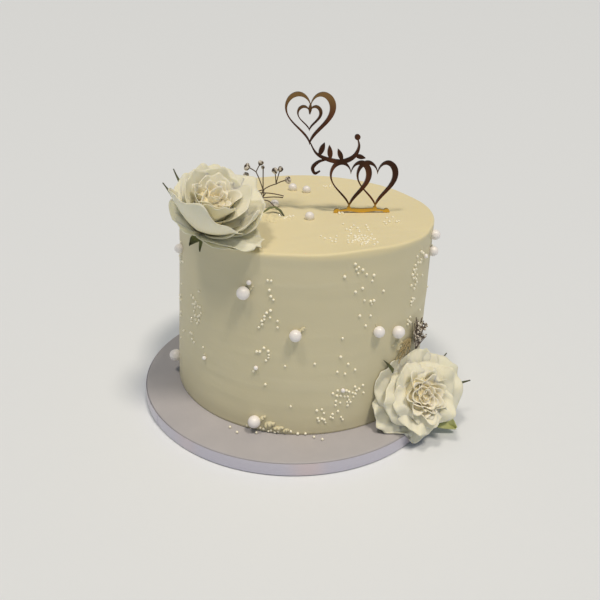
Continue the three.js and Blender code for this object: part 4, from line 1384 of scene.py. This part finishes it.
# The strokes at the foot are cut level, so that they stand flat on the icing.
outline = [(-CUT_HALF, -CUT_DEEP), (CUT_HALF, -CUT_DEEP), (CUT_HALF, 0), (-CUT_HALF, 0)]
corners, faces, _ = slab(outline)
block = ([(x, y * CUT_THICK, z) for x, y, z in corners], faces, {})
cut_with(topper, piece("block", [block], gold), "DIFFERENCE")
stand = Matrix.Translation(TOPPER_PLACE) @ Matrix.Rotation(TOPPER_TURN, 4, "Z")
topper.data.transform(stand)
topper.data.set_sharp_from_angle(angle=TOPPER_SHARP)
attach(topper, "root")
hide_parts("topper")

# The floor, the light and the camera.
# A plain pale floor, two large soft lights from the front and a pale surround.
FLOOR_HALF = 300.0
# Each light: the way it comes from, its strength.
LIGHTS = {"right": ((0.9, -0.95, 2.9), 1.5), "left": ((-0.7, -0.7, 2.9), 0.95)}
LIGHT_SPREAD = math.radians(10)
LIGHT_TINT = (1, 0.89, 0.74)
SURROUND_TINT = (0.84, 0.93, 1.0, 1)
SURROUND_STRENGTH = 0.25
CAMERA_PLACE = (0.0059, -0.4895, 0.3175)
CAMERA_DROP = math.radians(25.8)
CAMERA_ROLL = math.radians(1.51)
CAMERA_LENS = 38.556
CAMERA_FILM = 36
CAMERA_NEAR = 0.01


def floor_look(tree):
    return {"Base Color": tone(228, 233, 240), "Roughness": 0.7}


corners = [(x * FLOOR_HALF, y * FLOOR_HALF, 0) for x, y in [(-1, -1), (1, -1), (1, 1), (-1, 1)]]
floor = piece("floor", [(corners, [(0, 1, 2, 3)], {})], finish("floor_pale", floor_look))

world = bpy.data.worlds.new("surround")
world.use_nodes = True
surround = Tree(world.node_tree)
values = {"Color": SURROUND_TINT, "Strength": SURROUND_STRENGTH}
glow = surround.add("ShaderNodeBackground", values=values)
surround.add("ShaderNodeOutputWorld", values={"Surface": glow})
bpy.context.scene.world = world

for name, (way, strength) in LIGHTS.items():
    lamp = bpy.data.lights.new("light_" + name, "SUN")
    lamp.angle = LIGHT_SPREAD
    lamp.energy = strength
    lamp.color = LIGHT_TINT
    light = bpy.data.objects.new("light_" + name, lamp)
    light.rotation_euler = Vector(way).to_track_quat("Z", "Y").to_euler()
    bpy.context.scene.collection.objects.link(light)

lens = bpy.data.cameras.new("view")
lens.lens = CAMERA_LENS
lens.sensor_width = CAMERA_FILM
lens.clip_start = CAMERA_NEAR
camera = bpy.data.objects.new("view", lens)
camera.matrix_world = (Matrix.Translation(CAMERA_PLACE)
                       @ Matrix.Rotation(math.pi / 2 - CAMERA_DROP, 4, "X")
                       @ Matrix.Rotation(CAMERA_ROLL, 4, "Z"))
bpy.context.scene.collection.objects.link(camera)
bpy.context.scene.camera = camera
bpy.context.scene.view_settings.view_transform = "Standard"
